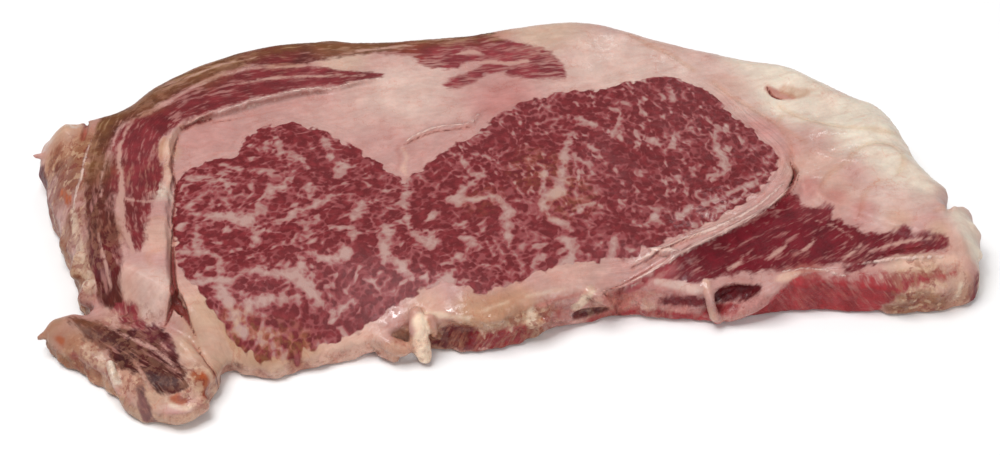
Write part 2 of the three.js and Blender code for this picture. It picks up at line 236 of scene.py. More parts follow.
def soft_min(a, b, radius):
    """The lesser of two values, rounded where they are near each other."""
    h = np.clip(0.5 + 0.5 * (b - a) / radius, 0, 1)
    return b + (a - b) * h - radius * h * (1 - h)


to_edge = nearest(plan_x, plan_y, edge)[0]
top = height(plan_x, plan_y, to_edge)
rough = sum(high * cloud(size) for size, high in CRAGS)
# the side is roughest toward the near edge and the left end
craggy = 0.5 + 0.65 * smooth(-plan_y, 8, 40) + 0.35 * smooth(-plan_x, 96, 122)
level = gz[None, None, :]
foot = np.clip(1 - level / FOOT, 0, 1)
wall = to_edge[:, :, None] - FOOT * (1 - np.sqrt(1 - foot ** 2)) + craggy[:, :, None] * rough - INSET
face = top[:, :, None] - level + FACE_CRAGS * rough
field = soft_min(face, wall, RIM_ROUND).astype(np.float32)


def depth_in_bar(places, points, radii):
    """How far places lie inside a bar that runs through points and has a radius at each."""
    best = np.full(places.shape[:-1], -1e9)
    for a, b, ra, rb in zip(points[:-1], points[1:], radii[:-1], radii[1:]):
        d = b - a
        t = np.clip(((places - a) @ d) / max(d @ d, 1e-9), 0, 1)
        away = np.linalg.norm(places - a - t[..., None] * d, axis=-1)
        best = np.maximum(best, ra + (rb - ra) * t - away)
    return best


def reach(points, radii, spread):
    """The part of the grid near a bar, and how far its places lie inside the bar."""
    margin = radii.max() + spread + 2 * CELL
    ends = np.array([points.min(0) - margin, points.max(0) + margin])
    ends = np.clip(((ends - LOW) / CELL).astype(int), 0, counts)
    part = tuple(slice(a, b + 1) for a, b in ends.T)
    places = np.meshgrid(gx[part[0]], gy[part[1]], gz[part[2]], indexing="ij")
    return part, depth_in_bar(np.stack(places, axis=-1), points, radii)


def add(points, radii, blend=TAG_BLEND):
    """Join a bar to the body."""
    part, bar = reach(points, radii, blend)
    field[part] = -soft_min(-field[part], -bar, blend)


def cut(points, radii, blend=HOLLOW_BLEND):
    """Hollow a bar out of the body."""
    part, bar = reach(points, radii, blend)
    field[part] = soft_min(field[part], -bar, blend)


def cells_at(points):
    """The grid's places nearest to points in plan or in space."""
    axes = points.shape[1]
    return tuple(np.clip(((points - LOW[:axes]) / CELL).round().astype(int), 0, counts[:axes] - 1).T)


def bar_on_face(course, up, radius, tip, power):
    """A course of x, y laid on the face, and its radii, which taper to its tips."""
    line = curve(course, False)
    taper = np.sin(np.linspace(tip, math.pi - tip, len(line))) ** power
    return np.column_stack([line, top[cells_at(line)] + up]), radius * taper


def shape_all(action, courses):
    """Add or cut a bar along each course of x, y, z, radius."""
    for course in courses:
        line = curve(course, False, BAR_STEP)
        action(line[:, :3], line[:, 3])


# clefts: course, depth under the face, radius at the middle
CLEFTS = [
    ([(-95.4, -28), (-94.8, -36), (-94, -42), (-93, -47)], 0.3, 0.8),
    ([(-93.8, -45.6), (-92.8, -48.4), (-91.4, -51), (-90, -53)], 1.5, 1.9),
    ([(-93, -48), (-94.2, -51), (-95.2, -53.4)], 0.7, 0.7),
    ([(-89, -57), (-86, -62), (-82.5, -66.5), (-79, -71)], 0.1, 0.6),
    ([(-127.4, 32), (-126.6, 26), (-126.6, 21), (-127.6, 16)], 0.6, 1),
    ([(87.2, 10), (88.2, 5.5), (87.2, 1), (85.2, -3.6), (82, -8)], 0.7, 1),
    ([(82.4, 46.4), (83.6, 43.6), (86, 41.8), (89, 41)], 0.2, 0.7),
    ([(-28.8, 18.6), (-25, 21.6), (-20, 24.6), (-14, 25.6), (-9, 26.4), (-6.4, 31)], -0.1, 0.5),
    ([(-90, 29), (-86, 30.8), (-78, 34.8), (-70, 37.8), (-62, 40.8), (-54, 42.8)], -1, 1.2),
    ([(36, -35.2), (44, -31.4), (52, -26.8), (60, -22)], 0.0, 0.7),
    ([(132.6, -4), (132.4, -9), (131.4, -14)], 0.2, 1),
]
for course, depth, radius in CLEFTS:
    cut(*bar_on_face(course, -depth, radius, *CLEFT_TIP))

# tags, lumps and spikes of fat: course of x, y, z, radius
TAGS = [
    [(-24.5, -50, 14.5, 2.2), (-24, -53.2, 11, 2.6), (-23.2, -54.6, 6, 3.1), (-22.2, -55.4, 2.6, 2.2)],
    [(-36, -52, 8, 1.6), (-32, -54.6, 7, 2.3), (-28.5, -55.2, 5.6, 2.4)],
    [(-34, -53.8, 3, 1.8), (-31, -55, 2.6, 2)],
    [(25, -38.6, 12.5, 1.2), (29, -40, 11, 1.7), (31.5, -40.2, 9.4, 1.1)],
    [(-137, 27, 9, 4.6), (-130, 27.5, 12, 4.8), (-124, 26, 15, 4)],
    [(-139, 22, 12.5, 1.2), (-142.6, 21.6, 12.6, 0.7)],
    [(-134.6, 26, 17, 1.6), (-132.6, 26.6, 18, 1.2)],
    [(-119.4, -37.4, 13.4, 2.2), (-120.4, -38.6, 10, 2.6)],
    [(-123.4, -27, 15.6, 1.6), (-124, -30, 12, 2.2)],
    [(-127, -50, 7, 4.2), (-123, -50, 8, 4.6)],
    [(-110.6, -67, 11, 1.3), (-109, -71.2, 8.6, 1.2), (-107.4, -74.6, 5.4, 0.7)],
    [(-120, -57.6, 8, 2.4), (-115, -61.6, 7.4, 2.8), (-111, -64.6, 7, 2)],
    [(-96, -79, 4.6, 2.6), (-90, -80, 4.4, 3), (-84.6, -77, 5, 2.8)],
    [(-86, -66, 9.6, 2.2), (-84.4, -70, 8, 2.2)],
    [(-96, -55.6, 12.2, 1.8), (-91, -60.4, 12, 2.2), (-86.6, -65, 10.4, 1.8)],
    [(-20.4, -50.6, 13.4, 1.4), (-19.4, -52.8, 9, 1.2)],
    [(4, -47.6, 9.6, 1.8), (8.6, -46.8, 8.6, 2.3), (12.6, -45.2, 8.4, 1.9)],
    [(12.4, -43.8, 10.4, 1.8), (15.4, -42.4, 7, 2.3), (19, -40.8, 5, 1.9)],
    [(-133, 29, 9.6, 2.2), (-127.6, 30.6, 11.4, 2)],
    [(-62, 69.6, 17, 1.2), (-54, 70.4, 17.4, 1.3), (-48, 70.6, 17, 0.9)],
    [(-129, -50, 7.5, 1.6), (-133, -51.5, 6.4, 0.8)],
    [(135.4, -8.6, 16, 1.6), (137.6, -7.4, 15.6, 1.3), (139.4, -6.8, 13, 1)],
    [(138.8, -13, 14, 1.8), (140.6, -13.6, 11.6, 1.7)],
    [(138, -19.6, 13.4, 1.5), (140.4, -20.6, 10, 1.6)],
]
shape_all(add, TAGS)

# the pocket behind the loop of loose tissue, then slots and undercuts in the near side
HOLLOWS = [
    [(63.4, -38.6, 9.4, 2.6), (67, -38.2, 10.4, 3.3), (71, -37.6, 11, 2.7), (74, -37.2, 11.4, 1.6)],
    [(21, -42, 5.5, 1.3), (25, -39.8, 5, 1.8), (30, -38, 4.4, 1.1)],
    [(-50, -59.6, 3.4, 0.7), (-42, -56.6, 3.6, 1.1), (-36, -55.4, 3.4, 0.7)],
    [(-20, -54, 9.5, 1.1), (-8, -53.2, 10.2, 1.4), (4, -50, 10.4, 1.2), (12, -46.4, 10, 0.8)],
    [(84, -38.5, -1, 1.6), (90, -37.5, -0.6, 2.6), (98, -38, -0.6, 2.6), (108, -39, -1, 1.4)],
    [(46, -40, 8, 1.6), (53, -41, 8.4, 2.2), (58, -41.5, 8.2, 1.4)],
]
shape_all(cut, HOLLOWS)

# the near side and the ends are ragged, tags and all
ragged = sum(high * cloud(size) for size, high in FRAYS) * smooth(top[:, :, None] - level, 0.6, 2.4)
field += (ragged * (craggy - 0.5)[:, :, None]).astype(np.float32)

# thin ridges of silverskin and the folded lip of fat, on the face: course, height of its middle, radius
RIDGES = [
    ([(88.5, 4), (86, -2.4), (81.6, -7.6), (75.6, -13), (68.6, -18.4), (60.6, -24), (53, -28.6), (45, -33),
      (37, -36.4), (29, -39.4)], 0.2, 0.9),
    ([(84, 0), (78, -7.4), (70, -14), (62, -19.4), (54, -24), (46, -28), (38, -31.4)], 0, 0.6),
    ([(74, -13), (64, -20.6), (55, -25.6), (47, -29.4)], 0.0, 0.5),
    ([(43, -28), (46, -28.4), (49, -28.6), (52, -29.4)], 0.6, 1.1),
    ([(-29.4, 20), (-25, 23), (-20, 26), (-14, 27), (-9.6, 28), (-6.8, 32.4), (-2, 35)], 0, 0.6),
    ([(-97, 25), (-92.5, 28.4), (-88, 30.9), (-84, 33), (-77.5, 36.5), (-70, 39.6), (-62, 42.3), (-52, 44),
      (-44, 46.5), (-37.5, 48.6)], 0.2, 0.7),
    ([(-100, 20), (-100.6, 14), (-99.6, 10), (-100.4, 6), (-98.8, 2), (-99, -2), (-97.8, -6)], 0.1, 0.8),
    ([(-98, -5), (-98.8, -9), (-97.8, -13), (-98.4, -18), (-97.2, -22), (-97.4, -28),
      (-96.8, -34)], -0.2, 0.6),
    ([(100, -29), (110, -27.6), (121, -27), (130, -26)], 0.2, 0.8),
    ([(76, -35), (84, -31.4), (94, -30.4), (104, -31)], 0.1, 0.8),
]
for course, up, radius in RIDGES:
    add(*bar_on_face(course, up, radius, *RIDGE_TIP), RIDGE_BLEND)

# the two straps of the loop
LOOPS = [
    [(59.5, -36, 13, 1.2), (60.4, -40.3, 10.5, 1.4), (61.2, -41.2, 6.5, 1.4), (63, -40, 3.2, 1.8)],
    [(83, -32.6, 11, 1.5), (80, -35, 10.6, 2.1), (76.4, -36.6, 8.6, 2.6), (72, -37.8, 5.8, 2.5),
     (66.6, -38.8, 3.4, 2.1)],
]
shape_all(add, LOOPS)

field = np.minimum(field, level.astype(np.float32))  # the foot is flat on what it lies on


def surface(field):
    """The points and four-sided faces of the zero surface of a field."""
    solid = field > 0
    corners = [(i, j, k) for i in (0, 1) for j in (0, 1) for k in (0, 1)]
    size = np.array(field.shape) - 1

    # a point in each cell that the surface crosses, in the middle of its crossings
    def at(array, c):
        """The values at one corner of every cell."""
        return array[tuple(slice(k, k + n) for k, n in zip(c, size))]

    full = sum(at(solid, c).astype(np.int8) for c in corners)
    active = (full > 0) & (full < 8)
    index = np.full(active.shape, -1, np.int64)
    cells = np.argwhere(active)
    index[active] = np.arange(len(cells))
    total, hits = np.zeros((len(cells), 3)), np.zeros(len(cells))
    values = {c: at(field, c)[active].astype(float) for c in corners}
    for a in corners:
        for axis in range(3):
            if a[axis]:
                continue
            b = tuple(1 if k == axis else a[k] for k in range(3))
            fa, fb = values[a], values[b]
            crossed = (fa > 0) != (fb > 0)
            share = np.where(crossed, fa / np.where(crossed, fa - fb, 1), 0)
            point = np.tile(np.array(a, float), (len(cells), 1))
            point[:, axis] = share
            total += point * crossed[:, None]
            hits += crossed
    points = (cells + total / hits[:, None]) * CELL + LOW

    # a face between the four cells round each crossing
    faces = []
    for axis in range(3):
        u, v = [k for k in range(3) if k != axis]
        low, high = [slice(None)] * 3, [slice(None)] * 3
        low[axis], high[axis] = slice(0, -1), slice(1, None)
        a, b = solid[tuple(low)], solid[tuple(high)]
        for found, turn in ((a & ~b, axis != 1), (b & ~a, axis == 1)):
            place = np.argwhere(found)
            place = place[(place[:, u] > 0) & (place[:, v] > 0)]
            ring = []
            for du, dv in ((1, 1), (0, 1), (0, 0), (1, 0)):
                cell = place.copy()
                cell[:, u] -= du
                cell[:, v] -= dv
                ring.append(index[cell[:, 0], cell[:, 1], cell[:, 2]])
            quad = np.stack(ring, 1)
            faces.append(quad if turn else quad[:, ::-1])
    return points, np.vstack(faces)


points, faces = surface(field)

# the underside is flat, so it gets a coarser mesh inside its outline
FLAT, WELD = 1e-6, 1e-5
SPACING = 3.0
SLAB = 500
underside = (np.abs(points[faces][:, :, 2]) < FLAT).all(1)
sides = faces[~underside]
used = np.unique(sides)
renumber = np.full(len(points), -1)
renumber[used] = np.arange(len(used))
shell, sides = points[used], renumber[sides]
pairs = np.sort(np.concatenate([sides[:, [k, (k + 1) % 4]] for k in range(4)]), axis=1)
pairs, times = np.unique(pairs, axis=0, return_counts=True)
rim = pairs[times == 1]
rim_points = np.unique(rim)
rim_number = np.full(len(shell), -1)
rim_number[rim_points] = np.arange(len(rim_points))
inner = np.array([
    (x, y) for x in np.arange(LOW[0], HIGH[0], SPACING) for y in np.arange(LOW[1], HIGH[1], SPACING)
])
from_rim = np.full(len(inner), 1e9)
for i in range(0, len(inner), SLAB):
    gap = inner[i:i + SLAB, None] - shell[rim_points][None, :, :2]
    from_rim[i:i + SLAB] = np.sqrt((gap ** 2).sum(2)).min(1)
inner = inner[(from_rim > 0.7 * SPACING) & (nearest(inner[:, 0], inner[:, 1], edge)[0] > 0)]
flat_points = [Vector(p) for p in np.vstack([shell[rim_points][:, :2], inner])]
filled = delaunay_2d_cdt(flat_points, rim_number[rim].tolist(), [], 1, WELD)
lookup = np.concatenate([rim_points, len(shell) + np.arange(len(inner))])
first_source = [source[0] for source in filled[3]]
floor_faces = [[int(lookup[first_source[i]]) for i in face][::-1] for face in filled[2]]
shell = np.vstack([shell, np.column_stack([inner, np.zeros(len(inner))])])

mesh = bpy.data.meshes.new("steak")
mesh.from_pydata(((shell - [*MIDDLE, 0]) * MM).tolist(), [], sides.tolist() + floor_faces)
mesh.update()
mesh.shade_smooth()
steak = bpy.data.objects.new("steak", mesh)
bpy.context.collection.objects.link(steak)
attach(steak, "root")
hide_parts(*[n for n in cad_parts])


# The muscles
# Eight muscles run through the slice, grown together with the fat round them. Each has its own
# colour, fibres and share of fat. Air has browned the outer band of the cap.

CAP = [
    (-37, 51.5), (-45, 51.4), (-55, 52.6), (-65, 53), (-74.5, 52), (-84, 49.2), (-90, 46), (-95.6, 41.4),
    (-100.4, 36.4), (-103.4, 32.8), (-108, 29), (-113, 26), (-116.2, 20.5), (-117, 10.5), (-117, -1.5),
    (-113.5, -9.5), (-111.5, -17.5), (-109.5, -27.5), (-106.5, -34), (-104, -30.5), (-103.5, -22),
    (-103, -12), (-102, -6.5), (-101, 2.5), (-102.5, 10.5), (-103, 18), (-100, 22), (-97, 26.5),
    (-90, 30.5), (-83.5, 34), (-78, 37.5), (-70, 40.5), (-62, 42.5), (-52, 44.5), (-44, 47), (-38, 49),
]
OUTER_CAP = [
    (-108.6, -46.5), (-114, -45), (-117.5, -39), (-119.5, -31.5), (-121, -22), (-123, -12.5),
    (-123.5, -5.5), (-124, 2), (-124, 10), (-123.4, 18), (-122.5, 26), (-121, 33), (-114.5, 42),
    (-108, 48.5), (-99.5, 54), (-89.5, 60), (-79.5, 65), (-69.5, 68), (-59.5, 70), (-50, 72), (-40, 73),
    (-30, 75), (-20, 76), (-8, 76), (-2, 73.5), (-8, 69.5), (-20, 68), (-30, 65), (-40, 62), (-50, 59),
    (-58, 57), (-63.5, 54), (-71, 53.5), (-78.5, 53), (-85.5, 51), (-91.5, 47), (-97, 41.5), (-102.5, 36.5),
    (-108.5, 30.5), (-114.5, 25.5), (-117.5, 19.5), (-117.5, 9), (-115.5, 0), (-114.5, -5), (-113.5, -15),
    (-111.5, -25.5), (-109.5, -35.5), (-110, -40.5),
]
TOP_MUSCLE = [
    (-38, 62), (-28, 61.5), (-26, 58.5), (-22, 56), (-16, 56), (-9, 59.5), (-5.5, 58.5), (-8, 55),
    (-14, 51.5), (-18, 47.5), (-16, 45.5), (-11, 47), (-6, 51.5), (-1, 54), (4, 51), (11, 50), (20, 50.5),
    (20, 54), (18, 58.5), (14, 63.5), (8, 67), (2, 69.5), (-5, 71.5), (-14, 71.5), (-24, 69.5), (-32, 67),
]
RIB = [
    (43, -34), (48.8, -30.8), (55.2, -27), (63.8, -21.4), (72, -15.4), (78.6, -10.6), (83.8, -5.6),
    (87.5, -4), (89.5, -8.5), (96.5, -8.5), (98.5, -10), (96.5, -12.5), (100.5, -13), (102, -15.5),
    (107.5, -14), (104.5, -17), (113, -18.5), (119, -17), (120.5, -20), (128.5, -20.5), (131, -23),
    (128, -25), (120, -26), (112, -26.5), (108.5, -28.5), (101.5, -31), (99.5, -30.5), (103.5, -28),
    (95.5, -28), (88.5, -28.5), (80.5, -30), (72.5, -32), (66, -33), (60.5, -35.5), (56, -36.5),
    (50, -35.5), (45.5, -35.5),
]
TAIL = [
    (-124, -49), (-117, -50.5), (-112, -53.5), (-106.5, -54), (-101, -52.5), (-96.5, -56), (-93, -61),
    (-91, -66.5), (-88, -74), (-88, -77), (-94, -78), (-98, -76), (-102.5, -71.5), (-107.5, -68),
    (-111, -63), (-116, -58.5), (-121, -54),
]
# these two show in the near wall only, so their outlines are x and height
FINGER = [
    (75, 0), (76.5, 6), (80, 10.3), (84, 12.4), (94, 12.2), (103.5, 12.2), (113, 12.7), (125.5, 12.9),
    (133, 12), (123, 11.6), (116.5, 9.8), (113, 5.5), (108, -1),
]
STRIP = [
    (-20, 2.6), (-19, 8), (-14, 9.8), (-8, 9.4), (-3, 8.2), (2, 9), (7, 8.8), (9.4, 7.2), (9, 3), (4, -1),
    (-10, -1), (-16, 1.6),
]


def colour(red, green, blue):
    """A colour read as the eye sees it, from 0 to 255, as light."""
    c = np.array([red, green, blue]) / 255
    return np.where(c > 0.04045, ((c + 0.055) / 1.055) ** 2.4, c / 12.92)


x, y, z = shell.T
cell = cells_at(shell)
side = smooth(top[cell[:2]] - z, 0.8, 2.4)  # 1 on the side, 0 on the cut face
broad, narrow = cloud(7)[cell], cloud(3)[cell]  # wavering of borders

from_eye, along_eye = nearest(x, y, eye)
in_eye = smooth(from_eye, -1.5, -0.5)

# the middle of the cap's two bands, which their fibres follow
BAND = [
    (-104, -52), (-109, -36), (-113.5, -20), (-115.5, 0), (-115, 18), (-110, 32), (-98, 43), (-80, 51),
    (-56, 56), (-30, 63), (0, 66), (24, 62),
]
from_band, along_band = nearest(x, y, curve(BAND, False), False)

# tones of the lean meat, fresh, dark and browned by air
MAROON, MAHOGANY, CRIMSON = colour(112, 34, 38), colour(84, 32, 24), colour(126, 44, 50)
CLARET, NIGHT, CHERRY = colour(88, 6, 16), colour(66, 8, 6), colour(150, 46, 50)
SCARLET, GARNET, PLUM = colour(122, 24, 30), colour(104, 24, 30), colour(96, 34, 42)
MADDER, LEATHER, WALNUT = colour(149, 62, 66), colour(120, 53, 34), colour(116, 68, 42)
OAK, RUST, OLIVE = colour(132, 79, 53), colour(168, 82, 46), colour(138, 93, 66)
BURGUNDY = colour(102, 12, 26)

MUSCLES = [
    # outline; fibres round the eye, along the band or at a turn; share of fat; tone; and for a
    # muscle that shows in the near wall alone, the y that it reaches back to
    (EYE, "eye", 0.0, MAROON, None),
    (CAP, "band", 0.3, MAROON, None),
    (OUTER_CAP, "band", 0.36, MAHOGANY, None),
    (TOP_MUSCLE, 8, 0.5, CRIMSON, None),
    (RIB, 34, 0.2, BURGUNDY, None),
    (TAIL, -42, 0.06, NIGHT, None),
    (FINGER, -52, 0.22, CHERRY, -26),
    (STRIP, 66, 0.5, SCARLET, -42),
]
WALL_STEP = 0.8
THROUGH = 0.2  # patterns are this much slower through the thickness
lean = np.full(len(shell), -60.0)  # how far inside a muscle
red = np.tile(MAROON, (len(shell), 1))
share = np.zeros(len(shell))
along, across, third = along_eye.astype(float), from_eye.astype(float), THROUGH * z
for outline, turn, fat_share, tone, back in MUSCLES:
    if back is None:
        up, border = y, -2.2
        inside = nearest(x, y, curve(outline))[0].astype(float)
    else:
        up, border = z, -0.4
        inside = nearest(x, z, curve(outline, step=WALL_STEP))[0].astype(float)
        inside = np.minimum(inside, back - y)
        third = np.where(inside > border, THROUGH * y, third)
    nearer = inside > lean
    lean = np.where(nearer, inside, lean)
    red[nearer] = tone
    share[nearer] = fat_share
    if turn == "band":
        along = np.where(inside > border, along_band, along)
        across = np.where(inside > border, from_band, across)
    elif turn != "eye":
        c, s = math.cos(math.radians(turn)), math.sin(math.radians(turn))
        along = np.where(inside > border, x * c + up * s, along)
        across = np.where(inside > border, up * c - x * s, across)


def patch(cx, cy, radius, waver, core, rim):
    """1 in the core of a round patch, 0 past its rim; both are shares of its radius."""
    return 1 - smooth(np.hypot(x - cx, y - cy) / radius + waver * broad, core, rim)


def toward(tones, tone, factor):
    """Tones, blended at each point into another."""
    return tones + factor[:, None] * (tone - tones)


# parts of a muscle in another tone: x, y, radius, strength, tone
SHADES = [
    (-108, 12, 12, 0.5, CRIMSON), (-88, 40, 14, 0.6, MAROON), (-60, 47, 12, 0.5, CRIMSON),
    (-103, 27, 6, 0.8, GARNET), (-116, -34, 12, 0.9, CLARET), (-117, -12, 12, 0.6, MAHOGANY),
    (-121, 4, 9, 0.6, WALNUT), (-112, -2, 7, 0.5, CRIMSON), (-110, 38, 12, 0.7, WALNUT),
    (-95, 50, 12, 0.7, WALNUT), (-72, 59, 12, 0.7, MAROON), (-52, 66, 11, 0.8, OAK),
    (-26, 71, 14, 0.9, LEATHER), (-6, 72, 10, 0.8, MAROON), (-18, 62, 10, 0.8, CRIMSON),
    (15, 57, 8, 0.7, CRIMSON), (4, 63, 9, 0.4, MADDER), (91, -5, 10, 0.6, CRIMSON),
    (104, -16, 8, 0.4, GARNET), (124, -22, 8, 0.4, MAROON), (46, -33, 7, 0.8, MADDER),
    (-101, -56, 6, 0.8, PLUM), (-94, -61, 5, 0.8, PLUM), (-120, -52, 7, 0.6, OAK),
    (-118, -36, 7, 0.6, CLARET), (-112, -58, 8, 0.6, MAHOGANY), (-92, -74, 5, 0.5, MAHOGANY),
    (-14, -50, 8, 0.85, CLARET), (4, -48, 6, 0.7, CHERRY), (120, -31, 10, 0.4, MADDER),
    (-40, 64, 8, 0.5, OLIVE),
]
for *circle, strength, tone in SHADES:
    red = toward(red, tone, strength * patch(*circle, waver=0.16, core=0.35, rim=1.1))

# The seams
# The widest seams of fat in the muscles, which grew between their bundles of fibres, and places
# where lean shows in the fat.

